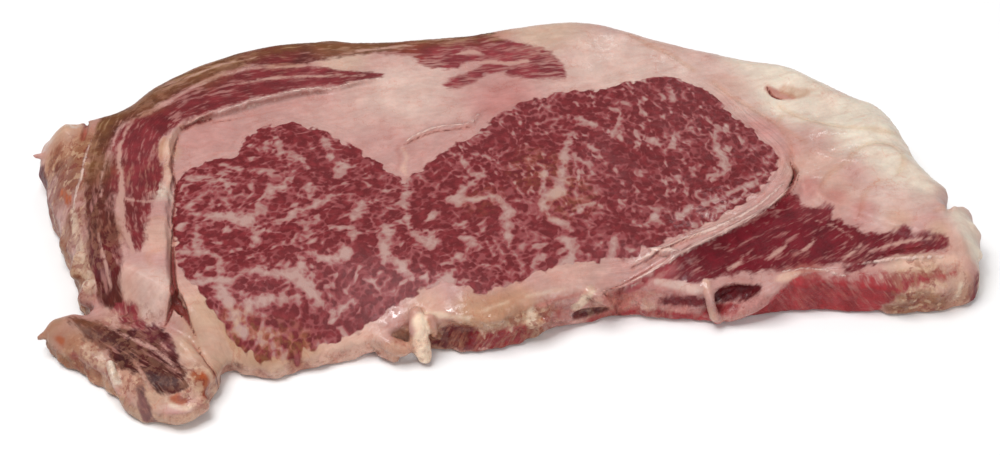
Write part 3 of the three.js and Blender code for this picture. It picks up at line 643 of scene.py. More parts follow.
LINE_STEP = 1.2
NEARBY = 4  # distances are worked out this far round a bar
FAR = -9.0
SEAMS = [
    # the left lobe of the eye: x, y, half width
    [(-95, 3, 0.6), (-91, 3, 1.2), (-87, 2.5, 1.1), (-83, 0.5, 0.8), (-79.5, -1, 0.5)],
    [(-84, 9, 0.8), (-79, 6, 0.9), (-73, 5, 0.6), (-65, 4.5, 0.5)],
    [(-92, -13, 0.5), (-86, -14.5, 1.2), (-80, -15, 1.9), (-75, -16.5, 2.3), (-71.5, -13, 1.4),
     (-69.8, -7, 1.1), (-67.5, -2.5, 1.5), (-62.5, -2.5, 0.8)],
    [(-73.5, -17, 1.6), (-72, -21, 1.2), (-72.2, -28, 0.9)],
    [(-68.5, -20.5, 0.8), (-66, -17.5, 1.1), (-60, -13.5, 1.3), (-55, -9.5, 1.2), (-50, -5.5, 0.7)],
    [(-69, 21.5, 1.1), (-67.5, 17, 0.7), (-66, 13.5, 0.9), (-63, 12.5, 1.9), (-60.5, 11, 0.8)],
    [(-53.5, 20, 0.9), (-53, 18, 1.3), (-51.5, 12, 0.6)],
    [(-48.7, 10.5, 1.2), (-48, 8, 1.9), (-49.5, 4, 0.9)],
    [(-90, -17, 0.7), (-89.3, -22, 1.2), (-89.5, -27, 0.8)],
    [(-95, -30, 0.6), (-89, -29.5, 1), (-83, -31, 1.1), (-81, -37, 1.2), (-80.5, -43, 2.3), (-77, -51, 1.8),
     (-73.5, -56, 1.6)],
    [(-96, -42, 1.2), (-89, -42, 1.3), (-83.5, -41.5, 1.3), (-79, -41.5, 2.2)],
    [(-78.5, -38.3, 0.8), (-70, -37.8, 1), (-64, -38.5, 1.4), (-58.5, -38.5, 3.1), (-55, -42.5, 2.2),
     (-50.5, -46, 0.8)],
    [(-58, -35, 1.6), (-59, -31, 0.6)],
    [(-62, -45, 0.9), (-66, -46.5, 1.7), (-71, -48, 1.7), (-74, -52, 1.2)],
    [(-56, -31, 0.6), (-52, -32, 1.3), (-47.5, -32, 1.6), (-45, -29.5, 2), (-47.5, -27.5, 0.8)],
    [(-34, -20, 1.3), (-33, -23, 2), (-34, -28, 1.8), (-33.5, -33, 1)],
    [(-45, -20.5, 0.8), (-44, -23, 0.9)],
    [(-43, -44, 0.8), (-46, -47, 1.2), (-49, -48.5, 0.6)],
    [(-41.5, -8, 0.7), (-41.8, -13, 1.2), (-44.5, -18, 0.7)],
    [(-30, -33.5, 1.5), (-28, -36, 1.6), (-25.5, -39, 0.7)],
    [(-27, -20.8, 0.7), (-24.5, -24, 1.5), (-21.8, -27.5, 1.3)],
    [(-19.6, -21.8, 0.7), (-20, -24, 1.3), (-21.8, -27.5, 1.4)],
    [(-41, -56, 0.7), (-44.5, -57.5, 1.1), (-47, -60, 0.7)],
    [(-69, -57, 0.9), (-65, -57.5, 0.9), (-62, -60, 0.6)],
    [(-28.2, 3, 1), (-28.6, -4, 0.7), (-28.4, -12, 0.8), (-27.5, -18, 0.5)],
    # the right lobe of the eye
    [(-12.5, 13, 0.5), (-10.5, 8.5, 0.9), (-8.5, 4, 1), (-5.5, 5, 1), (-8.5, 1, 1.4), (-11.5, -3, 1.5),
     (-14.5, -7.5, 2)],
    [(-14.5, -8, 1.5), (-8, -8, 1.1), (-2.5, -6.5, 1.5), (0.5, -10, 1.3), (2, -14, 1.7), (1.6, -20, 1.5),
     (2.2, -27, 0.7)],
    [(-8, 14, 0.5), (-6, 13, 1.1), (-2.5, 11.3, 0.6)],
    [(20.5, 22, 0.5), (19.3, 15, 1), (18.8, 8, 1.4), (18, 2, 1.7), (17, -3.5, 2.6), (14, -5.5, 2),
     (12, -11, 0.9), (11, -15, 0.5)],
    [(24, 30.5, 0.7), (25.5, 28.5, 1.7), (28.5, 26.5, 1)],
    [(25.5, 17.5, 0.5), (27.5, 14.5, 1.2), (29.5, 11, 0.5)],
    [(23, 10, 0.4), (26, 8, 0.8), (27.5, 4, 0.5)],
    [(36.5, 30.5, 0.5), (35.5, 26, 0.8), (34.2, 22.5, 1.4)],
    [(11.5, 8, 0.6), (13, 3, 0.9), (12.5, -3, 0.5)],
    [(15, -15.5, 1.1), (17.5, -17, 1.7), (20.5, -20, 0.7)],
    [(21, -13.5, 0.8), (24, -11, 0.9), (27, -9, 0.4)],
    [(16.5, -23.5, 1), (20, -25, 1.7), (20.3, -29.5, 2.1), (18.5, -34, 2.6)],
    [(12, -30, 0.5), (9.5, -34, 0.7)],
    [(33.2, -23, 0.6), (32.5, -27, 1.1), (31.8, -30, 0.6)],
    [(45.5, -11.5, 0.9), (45.5, -15, 2.1), (42.8, -18.5, 1)],
    [(52.5, -14.5, 1.6), (55.5, -11, 1), (62, -7.5, 0.9), (69, -3, 0.8), (75, 1, 0.9), (79, 4.5, 0.6)],
    [(58, -13.5, 0.3), (66, -9.5, 0.5), (74, -4, 0.4)],
    [(66, 27, 0.7), (64.8, 21, 1.1), (65.2, 15, 1.2), (67, 9.5, 1.9), (66.5, 4.5, 1.3), (62, 3.5, 0.6)],
    [(51.8, 45, 0.9), (52.8, 41, 1.3), (52, 37, 0.6)],
    [(43, 22, 0.6), (45, 20, 1.3), (49, 18, 0.5)],
    [(58.3, 8.5, 0.9), (57.5, 4, 0.6)],
    [(-12, -24, 0.5), (-9.5, -25, 1.2), (-7.8, -27, 0.5)],
    [(-13.5, -18.3, 0.5), (-11, -18.5, 0.9)],
    [(-13, -36, 0.6), (-16, -40, 2.6), (-20, -46, 3)],
    [(-10, -30, 0.4), (-14, -33, 0.9), (-17, -35, 0.4)],
    # the cap
    [(-112, 28, 0.3), (-114, 20.5, 0.7), (-115, 14, 1), (-114, 4.5, 1.1), (-112.8, -2, 1.3),
     (-112.4, -10.5, 1.6), (-111, -20.5, 1.6), (-108, -28, 1.4), (-106, -36.5, 1.2), (-106.5, -42.5, 1)],
    [(-111, -9, 0.7), (-105.5, -10.5, 0.8), (-101, -10, 1)],
    [(-84, 43.5, 0.4), (-76, 46.5, 0.8), (-66, 48, 0.9), (-52, 49, 0.7), (-44, 49.5, 0.3)],
    [(-111.5, 29, 0.4), (-105.5, 33, 0.6), (-99.5, 38, 0.6), (-93.5, 44.5, 0.5), (-86.5, 49, 0.5),
     (-78.5, 51.5, 0.6), (-69.5, 52.3, 0.8), (-62, 53.5, 1)],
    [(-118, 12, 0.7), (-119, 2, 0.7), (-118.5, -8, 0.5)],
    [(-117.5, -24, 0.5), (-115, -33, 0.8), (-112.5, -41, 0.7)],
    [(-104, 44, 0.6), (-96, 48.5, 0.8), (-87, 54, 0.7), (-76, 57, 0.5)],
    [(-46, 62.5, 0.7), (-38, 64.6, 0.9), (-28, 67.5, 0.6)],
    [(-36, 69, 0.4), (-24, 70.3, 0.6), (-12, 70, 0.4)],
    # the top muscle
    [(-14, 62.5, 0.8), (-10, 64, 1.6), (-6, 63, 0.6)],
    [(-12, 57.5, 0.8), (-4, 59, 1.2), (3, 57.5, 1.5), (8, 58.5, 1.2)],
    # the tail
    [(-112, -54, 0.4), (-106, -57.5, 0.8), (-99, -62, 0.9), (-94, -67, 0.8), (-91, -71.5, 0.5)],
    [(-103.5, -66, 0.3), (-101, -72, 0.6), (-98, -77, 0.7)],
    [(-98.5, -57, 0.4), (-94.5, -63, 0.5)],
    # the rib meat
    [(77, -27.5, 0.3), (80.5, -25, 0.9), (83.5, -22.5, 0.4)],
    [(86, -25.5, 0.3), (90, -22.5, 0.9), (92.5, -19.5, 0.4)],
    [(99, -27.5, 0.3), (102.5, -24.5, 0.9), (105.5, -22, 0.4)],
    [(107, -24.3, 0.3), (112, -23, 0.8), (119, -21.5, 0.9), (126, -21.5, 0.5)],
    [(66, -31.5, 0.9), (69, -29.5, 0.9), (70.5, -27, 0.3)],
    [(93, -13.6, 0.3), (99, -16, 0.6), (103, -19.5, 0.3)],
]


def inside_bar(course):
    """How far each point lies inside a bar along a course of x, y, radius or x, y, z, radius."""
    line = curve(course, False, LINE_STEP)
    margin = line[:, -1].max() + NEARBY
    plan = shell[:, :2]
    near = np.all((plan > line[:, :2].min(0) - margin) & (plan < line[:, :2].max(0) + margin), axis=1)
    here = shell[near][:, :line.shape[1] - 1]
    inside = np.full(len(shell), FAR)
    inside[near] = np.maximum(FAR, depth_in_bar(here, line[:, :-1], line[:, -1]))
    return inside


def inside_bars(courses):
    """How far each point lies inside the nearest of several bars."""
    return np.max([inside_bar(course) for course in courses], axis=0)


seam = inside_bars(SEAMS)

# lean that shows in the fat and in the side: course of x, y, z, radius, then its colour
PATCHES = [
    ([(-134, 13, 15.5, 2.4), (-132, 7, 16.4, 2)], LEATHER),
    ([(-131.5, 1, 16.4, 1.5), (-129, -5, 17, 1.3)], RUST),
    ([(-128.4, -10, 16, 1.4), (-127.6, -15, 15, 1.2)], LEATHER),
    ([(-136.5, 17.5, 13, 1.5), (-134.6, 19, 16.6, 1.2)], LEATHER),
    ([(-115, -42, 13.8, 1.5), (-110, -45.6, 13.6, 2), (-105, -48, 13.8, 1.6)], CRIMSON),
    ([(-140.5, 19, 7, 3.4), (-139, 12, 5.6, 3.4), (-137, 4, 5, 2.6)], PLUM),
    ([(42.5, -34.6, 14.6, 1.1), (38.5, -36.4, 12.4, 1.6), (33.5, -38.5, 10, 1.3),
      (28.6, -41, 10.4, 0.6)], MADDER),
    ([(48.5, -37.8, 7.6, 1.8), (53.5, -38.6, 8.4, 2.2), (58, -39.4, 8.6, 1.5)], GARNET),
    # lean deep in the pocket behind the loop, painted darkest as its shade
    ([(63.2, -36.8, 9.2, 2.6), (67.4, -36, 10.2, 3.5), (71.4, -35.6, 10.8, 3),
      (74.6, -36, 11.2, 1.6)], CLARET),
    ([(60, -38, 4, 1.8), (66, -37.6, 5, 2.2), (70, -38, 5, 1.4)], CHERRY),
    ([(26, -40, 1, 1.6), (39.5, -37, 2.4, 1.5), (50, -38.5, 2.6, 1.6), (60, -40, 1.6, 1.5),
      (74, -38, 1, 1.4)], CHERRY),
    ([(12, -46, 2, 1), (15, -44.6, 6, 1.1), (17, -43, 9, 0.9)], MADDER),
    ([(140, -29, 6, 3.2), (139.5, -30, 2, 3)], SCARLET),
    ([(-101.5, -76, 9.6, 1.3), (-100, -79, 5.6, 2), (-98.8, -81, 1.5, 1.8)], colour(116, 76, 74)),
    ([(-108, -47.5, 15, 2.2), (-106, -51, 12.6, 2.4), (-101, -55, 12.6, 1.6)], CRIMSON),
    ([(-92, -73, 10, 2.2), (-90, -76, 8.6, 1.8)], PLUM),
]
for course, tone in PATCHES:
    inside = inside_bar(course) + 0.6 * narrow
    nearer = inside > lean
    lean = np.where(nearer, inside, lean)
    red[nearer] = tone
    share[nearer] = 0.3 if tone.sum() > 0.2 else -0.5  # the dark ones have no streaks
share -= 0.16 * (1 - smooth(np.hypot(x - 102, y + 13), 5, 14))  # the top of the rib meat has fewer

# dark lines in the clefts and under the flaps, partly blood and partly painted shade: x, y, half width
CRACKS = [
    [(-98, 22, 0.1), (-98.8, 16.5, 0.25), (-98.9, 8, 0.2), (-98, 3, 0.3), (-96.7, -3, 0.3),
     (-96.8, -9, 0.25), (-96.5, -15.5, 0.35), (-96, -21.5, 0.3), (-95.6, -28, 0.4), (-95, -34.5, 0.55),
     (-94.2, -41, 0.6), (-93.4, -46, 1)],
    [(-94, -45.6, 0.6), (-92.8, -48.8, 1.5), (-91, -51.8, 1.2), (-89, -55, 0.5), (-87, -58.4, 0.1)],
    [(-93.2, -49, 0.9), (-94.6, -51.6, 0.6), (-96, -54.4, 0.2)],
    [(-86, -61, 0.1), (-84, -65, 0.2), (-80.5, -69, 0.3)],
    [(87, 10, 0.1), (88.1, 5.5, 0.5), (87.1, 1, 0.6), (85.3, -3.5, 0.5), (83.3, -6.5, 0.3),
     (81, -9.5, 0.1)],
    [(38, -32.6, 0.1), (44.5, -29.6, 0.2), (51, -26, 0.2), (58, -22, 0.1)],
    [(30, -39.6, 0.2), (36, -36, 0.2), (43.5, -32.4, 0.1)],
    [(-88, 29.2, 0.1), (-80, 31.6, 0), (-72, 34.2, -0.2), (-60, 38.4, -0.4)],
    [(-97.6, 24, 0.2), (-94, 27, 0.3), (-89, 29.8, 0.25)],
    [(82.6, 46, 0.2), (83.8, 43.4, 0.4), (86.6, 41.6, 0.2)],
    [(-29.4, 18.5, 0.1), (-25, 21.6, 0.15), (-20, 24.2, 0.2), (-14, 25.4, 0.15), (-9.4, 26.6, 0.1)],
    [(111, -25.4, 0.1), (117, -24.6, 0.3), (124, -23.6, 0.15)],
]
crack = inside_bars(CRACKS)

# The fat
# Soft fat, pinkish between the muscles, whitish at the middle of the far side, cream in the
# thick part at the right, and dried to tan on the outside and the near edge.

# tones of the fat, fresh, dried and stained
PINK, ROSE, PALE = colour(192, 145, 138), colour(188, 126, 120), colour(213, 181, 169)
CREAM, TAN, AMBER = colour(226, 210, 192), colour(198, 160, 136), colour(176, 112, 74)
IVORY, BUTTER, SHELL = colour(250, 224, 198), colour(226, 200, 176), colour(219, 178, 158)
PETAL, SAND, BLUSH = colour(216, 154, 140), colour(206, 176, 154), colour(205, 163, 147)
FAWN, WHEAT, OAT = colour(194, 147, 123), colour(184, 137, 106), colour(170, 126, 99)
CLAY, BARK, UMBER = colour(160, 112, 84), colour(149, 101, 74), colour(124, 68, 44)
SALMON, CORAL, BRICK = colour(179, 115, 106), colour(186, 100, 91), colour(156, 74, 64)
SIENNA = colour(111, 40, 25)
TONES = [
    # x, y, radius, strength, tone
    (-30, 44, 22, 0.9, PALE), (-14, 33, 7, 0.3, PALE), (1, 39, 14, 0.85, ROSE), (84, 12, 8, 0.5, ROSE),
    (-88, 24, 12, 0.3, ROSE), (-52, 32, 14, 0.25, PALE), (36, 60, 30, 0.9, PALE), (62, 56, 18, 0.6, PALE),
    (90, 46, 22, 0.95, CREAM), (112, 28, 26, 1, CREAM), (122, 6, 16, 0.95, CREAM), (80, 60, 14, 0.8, CREAM),
    (92, 10, 12, 0.8, BLUSH), (100, -4, 10, 0.7, BLUSH), (116, -8, 12, 0.8, PALE), (94, 20, 9, 0.6, PINK),
    (80, 27, 7, 0.6, ROSE), (137, -14, 8, 0.9, CREAM), (138.5, -21, 7, 0.9, CREAM),
    (88, -30.5, 8, 0.8, BRICK), (104, -28.5, 7, 0.5, SALMON), (87, 14, 5, 0.5, ROSE),
    (128.5, -20, 5, 0.7, TAN), (133.5, -24.5, 6, 0.8, BLUSH), (92, -1, 5, 0.6, ROSE),
    (99, -6, 5, 0.7, SALMON), (107, -10.5, 5, 0.7, ROSE), (117, -14.5, 5, 0.6, FAWN),
    (-70, -64, 26, 0.9, TAN), (-90, -46, 9, 0.8, BLUSH), (-84, -52, 9, 0.9, TAN), (-100, -46, 9, 0.8, PALE),
    (-109, -45, 8, 0.9, BLUSH), (-100, -26, 9, 0.9, BLUSH), (-101, -6, 5, 0.7, CREAM),
    (-101, 14, 5, 0.8, TAN), (-44, -57, 14, 0.8, SHELL), (-9, -49, 8, 0.9, WHEAT),
    (-21, -47.5, 8, 0.7, FAWN), (6, -46, 8, 0.8, WHEAT), (-2, -48.5, 7, 0.9, WHEAT),
    (46, -37, 8, 0.7, ROSE), (-119, 2, 10, 0.8, BARK), (-116, -24, 10, 0.8, BARK),
    (-112, 32, 10, 0.8, CLAY), (-92, 50, 9, 0.7, OAT), (-68, 54, 9, 0.7, OAT), (-134, 27, 10, 1, TAN),
    (-127, 16, 8, 0.9, CLAY), (-135.5, 16, 7, 0.9, WHEAT), (-129, 9, 6, 0.8, OLIVE),
    (-106, 2, 8, 0.5, WHEAT), (-98, -75, 9, 0.9, TAN), (-107, -68, 8, 0.8, FAWN), (-131, 2, 8, 0.9, UMBER),
    (-129, -14, 8, 0.8, BARK), (-124, -34, 8, 0.9, OLIVE), (-114, 40, 9, 0.8, TAN),
    (-120, -58, 12, 0.9, CLAY), (-129, -49, 8, 0.9, OAT), (-88, -62, 8, 0.9, TAN), (-84, -72, 9, 0.9, TAN),
    (-50, 58, 12, 0.6, SAND), (-20, 76, 12, 0.6, TAN), (14, 77, 18, 0.8, SAND), (120, -33, 12, 0.9, TAN),
    (134, -32, 6, 0.6, TAN), (60, -12, 12, 0.4, BLUSH), (20, -38, 16, 0.5, BLUSH), (56, 74, 14, 0.6, BLUSH),
    (72, 46, 8, 0.5, BLUSH),
]
pale = np.tile(PINK, (len(shell), 1))
for *circle, strength, tone in TONES:
    pale = toward(pale, tone, strength * patch(*circle, waver=0.14, core=0.25, rim=1.15))

# the side: x, y, radius, strength, tone
SIDES = [
    (-136, 8, 14, 0.9, OAK), (-132, -10, 12, 0.9, OLIVE), (-124, -32, 16, 0.9, OLIVE),
    (-128, -22, 10, 0.8, CLAY), (-110, 50, 24, 0.8, TAN), (-60, 74, 60, 0.85, BARK), (20, 84, 60, 0.7, TAN),
    (100, 52, 30, 0.7, CREAM), (-60, -62, 26, 0.9, BLUSH), (-24, -53, 14, 0.9, FAWN),
    (-8, -50, 10, 0.8, WHEAT), (2, -50, 15, 0.9, OAT), (20, -42, 9, 0.8, ROSE), (34, -38, 9, 0.8, CORAL),
    (50, -40, 10, 0.8, CORAL), (50, -37, 12, 0.8, ROSE), (72, -37, 12, 0.8, ROSE),
    (96, -35, 16, 0.8, CORAL), (122, -36, 12, 0.95, CLAY), (136, -33, 6, 0.8, FAWN),
    (140, -15, 10, 0.8, PALE), (-104, -76, 12, 0.8, OAT), (-124, -57, 12, 0.9, BARK),
    (-88, -80, 9, 0.9, TAN), (-97, -81, 8, 0.9, TAN), (-113, -68, 9, 0.8, WHEAT),
    (140, -24, 8, 0.8, BUTTER),
]
for *circle, strength, tone in SIDES:
    pale = toward(pale, tone, side * strength * patch(*circle, waver=0.2, core=0.4, rim=1.1))

# painted shade and light: hollows in the side are redder and darker, crests paler, after its relief
crag = rough[cell] * side
pale = toward(pale, BRICK, 0.5 * smooth(-crag, 0.1, 1.3))
pale = toward(pale, BUTTER, 0.35 * smooth(crag, 0.2, 1.4))

# small spots and lines: course of x, y, z, radius, then strength and tone
SPOTS = [
    ([(-85.4, -71.6, 11, 1.8), (-82.6, -73, 9, 1.7)], 1, RUST),
    ([(-82.6, -74.6, 6.6, 2), (-86, -76.4, 5.4, 1.6)], 1, colour(138, 44, 32)),
    ([(-88.5, -76, 9.6, 1), (-92.4, -78.6, 8.8, 0.8)], 0.8, RUST),
    ([(-89, -78.5, 8, 1.2), (-92, -79, 8, 0.8)], 0.8, RUST),
    ([(-94, -79, 9, 0.6), (-90, -80.4, 6.6, 0.7), (-86, -80, 8, 0.6)], 0.9, BUTTER),
    ([(-126, -55, 8.5, 1.1), (-127.6, -53, 8, 0.8)], 0.8, RUST),
    ([(-122, -59.5, 6.5, 1.5), (-119.5, -61.5, 6.5, 1)], 0.8, BRICK),
    ([(-118, -60, 9.6, 1.8), (-113, -64, 8.6, 1.8)], 0.6, SAND),
    ([(-105.6, -74, 5, 1.1), (-105.6, -76, 3, 0.8)], 0.9, RUST),
    ([(-110.4, -67.5, 12, 1), (-108.6, -71.6, 8.4, 1.1)], 0.9, CREAM),
    # painted shade: dark in the triangular hole at the foot of the left cleft
    ([(-95, -48, 8, 3), (-93, -52, 8, 3), (-91, -56, 8, 2.4)], 0.9, SIENNA),
    ([(-89.5, -58, 12, 1), (-86, -64, 10, 1.2), (-82, -69, 8, 1)], 0.7, CORAL),
    # painted shade: a dark spot low under the near edge by the tail
    ([(-76, -63, 4, 2.2), (-79, -66, 3, 2)], 0.8, SIENNA),
    ([(65, -34.6, 12, 1.4), (70, -34.4, 12.4, 1.3), (73, -34.6, 12, 1)], 0.6, SALMON),
    # painted shade: dark in the slot under the white flap of fat
    ([(21.6, -40.4, 4.8, 1.5), (24, -38.8, 4.8, 1.8), (27, -37.7, 4.6, 1.7),
      (30, -37.2, 4.4, 1.2)], 0.95, CLARET),
    ([(26.6, -38.4, 14, 0.9), (24.2, -40, 11, 1.5), (21.6, -40.2, 8, 1.2)], 0.85, BUTTER),
    ([(-6, -51, 8.6, 0.4), (-4.6, -51.4, 5.4, 0.7), (-2.6, -51.1, 1.8, 0.5)], 0.8, SHELL),
    ([(-2.4, -50.8, 8.4, 0.3), (-0.8, -50.7, 5.4, 0.6), (1, -50.1, 2, 0.5)], 0.8, SHELL),
    ([(2, -49.6, 8, 0.4), (3.8, -48.9, 5.6, 0.5), (5.6, -47.9, 3, 0.4)], 0.75, SHELL),
    ([(-8.4, -51.4, 4, 1), (-5, -51.4, 2, 0.9)], 0.8, PETAL),
    ([(13, -46.6, 9, 1), (15.6, -44, 5.6, 1.5), (18, -42.4, 2.6, 1)], 0.7, BRICK),
    # painted shade: dark in the slot low in the near side
    ([(-52, -60, 3.4, 0.8), (-44, -57.6, 3.8, 0.9), (-36, -55, 3.4, 0.7)], 0.85, SIENNA),
    ([(10, -44.8, 12.4, 0.6), (17, -41.8, 12.6, 0.5), (26, -38.7, 12.8, 0.4)], 0.6, CORAL),
    ([(11.4, -46.8, 9, 0.7), (11.6, -45.8, 5.6, 0.7), (11.4, -44.6, 2, 0.6)], 0.85, RUST),
    ([(8.6, -45.6, 11.5, 1), (8.8, -47.8, 8, 1.2), (9, -47, 5.4, 0.8)], 0.95, BUTTER),
    # painted shade: red-brown hollows behind the folded flap and beside the tag
    ([(-33, -51.8, 12, 1.2), (-29, -51.4, 13, 1.4), (-26.6, -51.6, 11, 1.2)], 0.85, BRICK),
    ([(-21, -51.4, 13, 0.9), (-20, -52, 9.5, 1)], 0.85, AMBER),
    # the cream edge along the top of the near rim, partly painted highlight
    ([(-26, -49, 14.4, 0.8), (-16, -49.8, 13.6, 0.7), (-9.5, -50.6, 13.2, 0.6)], 0.7, BUTTER),
    ([(-6, -49, 14, 0.3), (-2.6, -47.4, 14.8, 0.5), (2, -45.6, 15, 0.2)], 0.45, BUTTER),
    ([(7, -43.4, 15, 0.3), (12.4, -41.5, 14.8, 0.5), (18.5, -39.6, 14.6, 0.2)], 0.45, BUTTER),
    ([(-23.4, -52, 14, 2), (-22.8, -55, 9, 2.6), (-22, -57, 4, 2.4)], 0.95, IVORY),
    ([(-19, -50.6, 6.5, 1.8), (-16, -50.6, 5.4, 1.6)], 0.8, OAK),
    ([(-12.5, -51.5, 1.6, 1.2), (-4, -50.8, 1.4, 1.2)], 0.7, SALMON),
    ([(59.4, -36, 14, 0.8), (60.2, -40.6, 10, 0.9), (61.4, -42, 5, 0.9)], 0.8, SHELL),
    ([(45.5, -36, 14, 1), (51, -36.8, 13.2, 1.2), (57, -38, 12.6, 1)], 0.7, PALE),
    ([(74, -36, 6, 1.1), (79, -34, 11, 1.1), (88, -32, 14.4, 1), (99, -31, 15, 1), (110, -30.4, 15, 1.3),
      (121, -28.6, 15, 1.5), (132, -27, 14.4, 1.2)], 0.8, SHELL),
    ([(134, -32, 8.8, 0.9), (133, -34, 4.6, 0.8)], 0.9, BUTTER),
    ([(112, -37, 3, 1.6), (120, -37, 5, 1.6), (128, -36, 4.6, 1.3)], 0.8, UMBER),
    ([(-137, 30, 10, 1.2), (-130, 30.5, 12, 1.2)], 0.7, BUTTER),
    # the pocket in the thick fat, reddish-brown partly in its own right and partly as painted shade, then
    # its fold in painted shade
    ([(83, 45.4, 19, 1.4), (86, 43.4, 18.6, 1.9), (90, 42.4, 18.6, 1.2)], 0.7, colour(170, 84, 74)),
    ([(88, 45.4, 19, 1.8), (92, 43.6, 18.8, 2), (97, 44.4, 19, 1.2)], 0.6, WHEAT),
    ([(-87, 31, 20, 1.4), (-78, 34.4, 20, 1.8), (-70, 37.4, 20, 1.8), (-60, 40.6, 20, 1.4)], 0.6, PINK),
    ([(-97, 24, 22, 1.2), (-99.8, 14, 22, 1.8), (-99.2, 4, 22, 1.4), (-98, -6, 22, 1)], 0.7, SHELL),
    ([(-102, 18, 22, 0.6), (-102.6, 13, 22, 0.5), (-102, 8, 22, 0.5)], 0.7, AMBER),
    ([(-127.4, 31, 19, 1), (-126.6, 26, 20, 1), (-126.8, 20, 20.4, 1)], 0.8, BRICK),
    ([(-27.8, 3, 20, 0.2), (-29.6, 8, 20, 0.7), (-28.6, 12.5, 20, 0.4), (-30, 17, 20, 0.3)], 0.6, SHELL),
    ([(-31.4, 7, 20, 0.2), (-30.6, 12, 20, 0.4), (-31.6, 17, 20, 0.3), (-29.6, 21, 20, 0.2)], 0.5, SALMON),
    ([(-128, 24, 14.6, 1), (-126, 21, 15, 0.8)], 0.8, LEATHER),
    ([(-122, 22, 20, 1), (-122.4, 12, 20, 1.3), (-123, 4, 19.6, 0.8)], 0.5, TAN),
    ([(-126.6, -8, 17, 1.2), (-125.8, -15, 16.6, 1.7), (-123.4, -26, 16, 2.2), (-120.8, -34, 15, 2.3),
      (-118, -42, 14.5, 1.6)], 0.8, SAND),
    ([(84, -39.6, 0.8, 0.8), (92, -38.6, 1.4, 0.9), (102, -38.4, 1.4, 0.8),
      (112, -39, 0.8, 0.8)], 0.8, PETAL),
    ([(72, 63, 18.4, 0.8), (76, 62, 18.6, 1.6), (79, 61, 18.6, 1.3), (83, 59.4, 18.8, 0.6)], 0.6, AMBER),
]
for course, strength, tone in SPOTS:
    spotted = strength * smooth(inside_bar(course) + 0.35 * narrow, -0.7, 0.5)
    pale = toward(pale, tone, spotted)
    lean -= 3 * spotted * (lean > -2)

# bright wet threads of silverskin, folded edges and the creases round the lobes of fat: x, y, half width
THREADS = [
    [(88.5, 5, 0.5), (86, -2, 0.6), (82, -7, 0.7), (76, -12.5, 0.8), (69, -18, 0.9), (61, -23.6, 0.9),
     (54, -28, 0.8), (46, -32.4, 0.7), (38, -36, 0.5)],
    [(84, 0, 0.3), (78, -7.4, 0.5), (70, -14, 0.6), (62, -19.4, 0.6), (54, -24, 0.6), (46, -28, 0.5),
     (38, -31.4, 0.3)],
    [(44, -28.2, 0.8), (48, -28.4, 1.2), (51.4, -29, 0.6)],
    [(-95.5, 26.5, 0.2), (-92.5, 28.4, 0.3), (-88, 30.9, 0.3), (-84, 33, 0.35), (-77.5, 36.5, 0.35),
     (-70, 39.6, 0.3), (-62, 42.3, 0.3), (-52, 44, 0.3), (-44, 46.5, 0.2), (-37.5, 48.6, 0.1)],
    [(-29, 20, 0.3), (-25, 23, 0.5), (-20, 25.8, 0.5), (-14, 26.9, 0.5), (-9.6, 28, 0.4),
     (-6.8, 32.4, 0.3)],
    [(-124, 18, 0.1), (-125, 12, 0.4), (-125.3, 6, 0.3), (-125.5, 1, 0.6), (-126.6, -4, 0.4),
     (-127, -10, 0.1)],
    [(104, -28.8, 0.2), (112, -27.8, 0.4), (121, -27.4, 0.4), (129, -26.6, 0.2)],
    [(82, -31, 0.3), (90, -30, 0.4), (100, -32, 0.2)],
]
thread = inside_bars(THREADS)
CREASES = [
    [(66, 48, 0.3), (71.5, 41, 0.4), (78, 35, 0.4), (84, 28, 0.4), (87, 20, 0.35), (87.6, 12.5, 0.3)],
    [(104, 8, 0.3), (106, 13, 0.4), (110, 17, 0.5), (116, 18, 0.4), (120, 15, 0.5), (121, 10, 0.4),
     (119, 5, 0.3)],
    [(121, 15, 0.4), (124, 17, 0.6), (126, 20, 0.4)],
    [(86, 38, 0.3), (90, 33, 0.4), (97, 28, 0.4), (106, 25, 0.4), (114, 24, 0.4), (122, 25, 0.3)],
    [(86, 33, 0.3), (84.5, 28, 0.4), (88, 23, 0.4), (92, 18, 0.3)],
    [(103, 8, 0.4), (98, 4, 0.4), (95, -2, 0.3)],
    [(106, -12, 0.3), (108, -4, 0.3), (113, 2, 0.3)],
    [(38, 76, 0.3), (46, 68, 0.5), (54, 61, 0.5), (60, 54, 0.4)],
    [(128, -12, 0.3), (131, -10, 0.5), (133.5, -5, 0.5)],
    [(-99, -32, 0.2), (-102, -34, 0.4), (-101, -38, 0.3)],
    [(-103, -19, 0.3), (-100, -18, 0.4), (-98, -19, 0.2)],
]
crease = inside_bars(CREASES)

# where the surface is wet and shines: x, y, radius, strength
WET = [
    (72, -16, 22, 0.7), (50, -34, 22, 1), (20, -44, 14, 1), (-4, -50, 16, 1), (-26, -54, 12, 0.8),
    (90, -34, 16, 0.9), (66, -38, 10, 0.5), (-90, -60, 10, 0.5), (-100, 16, 9, 0.7), (-75, 38, 16, 0.6),
    (-45, 46, 12, 0.6), (-20, 27, 12, 0.6), (96, 14, 16, 0.6), (-136, 26, 10, 0.6), (-108, -66, 12, 0.5),
    (-85, -76, 10, 0.7), (122, -34, 12, 0.6), (-10, -53, 11, 1.2), (64, -40, 12, 1), (40, 66, 26, 0.35),
    (112, 14, 26, 0.3), (-56, 66, 12, 0.5),
]

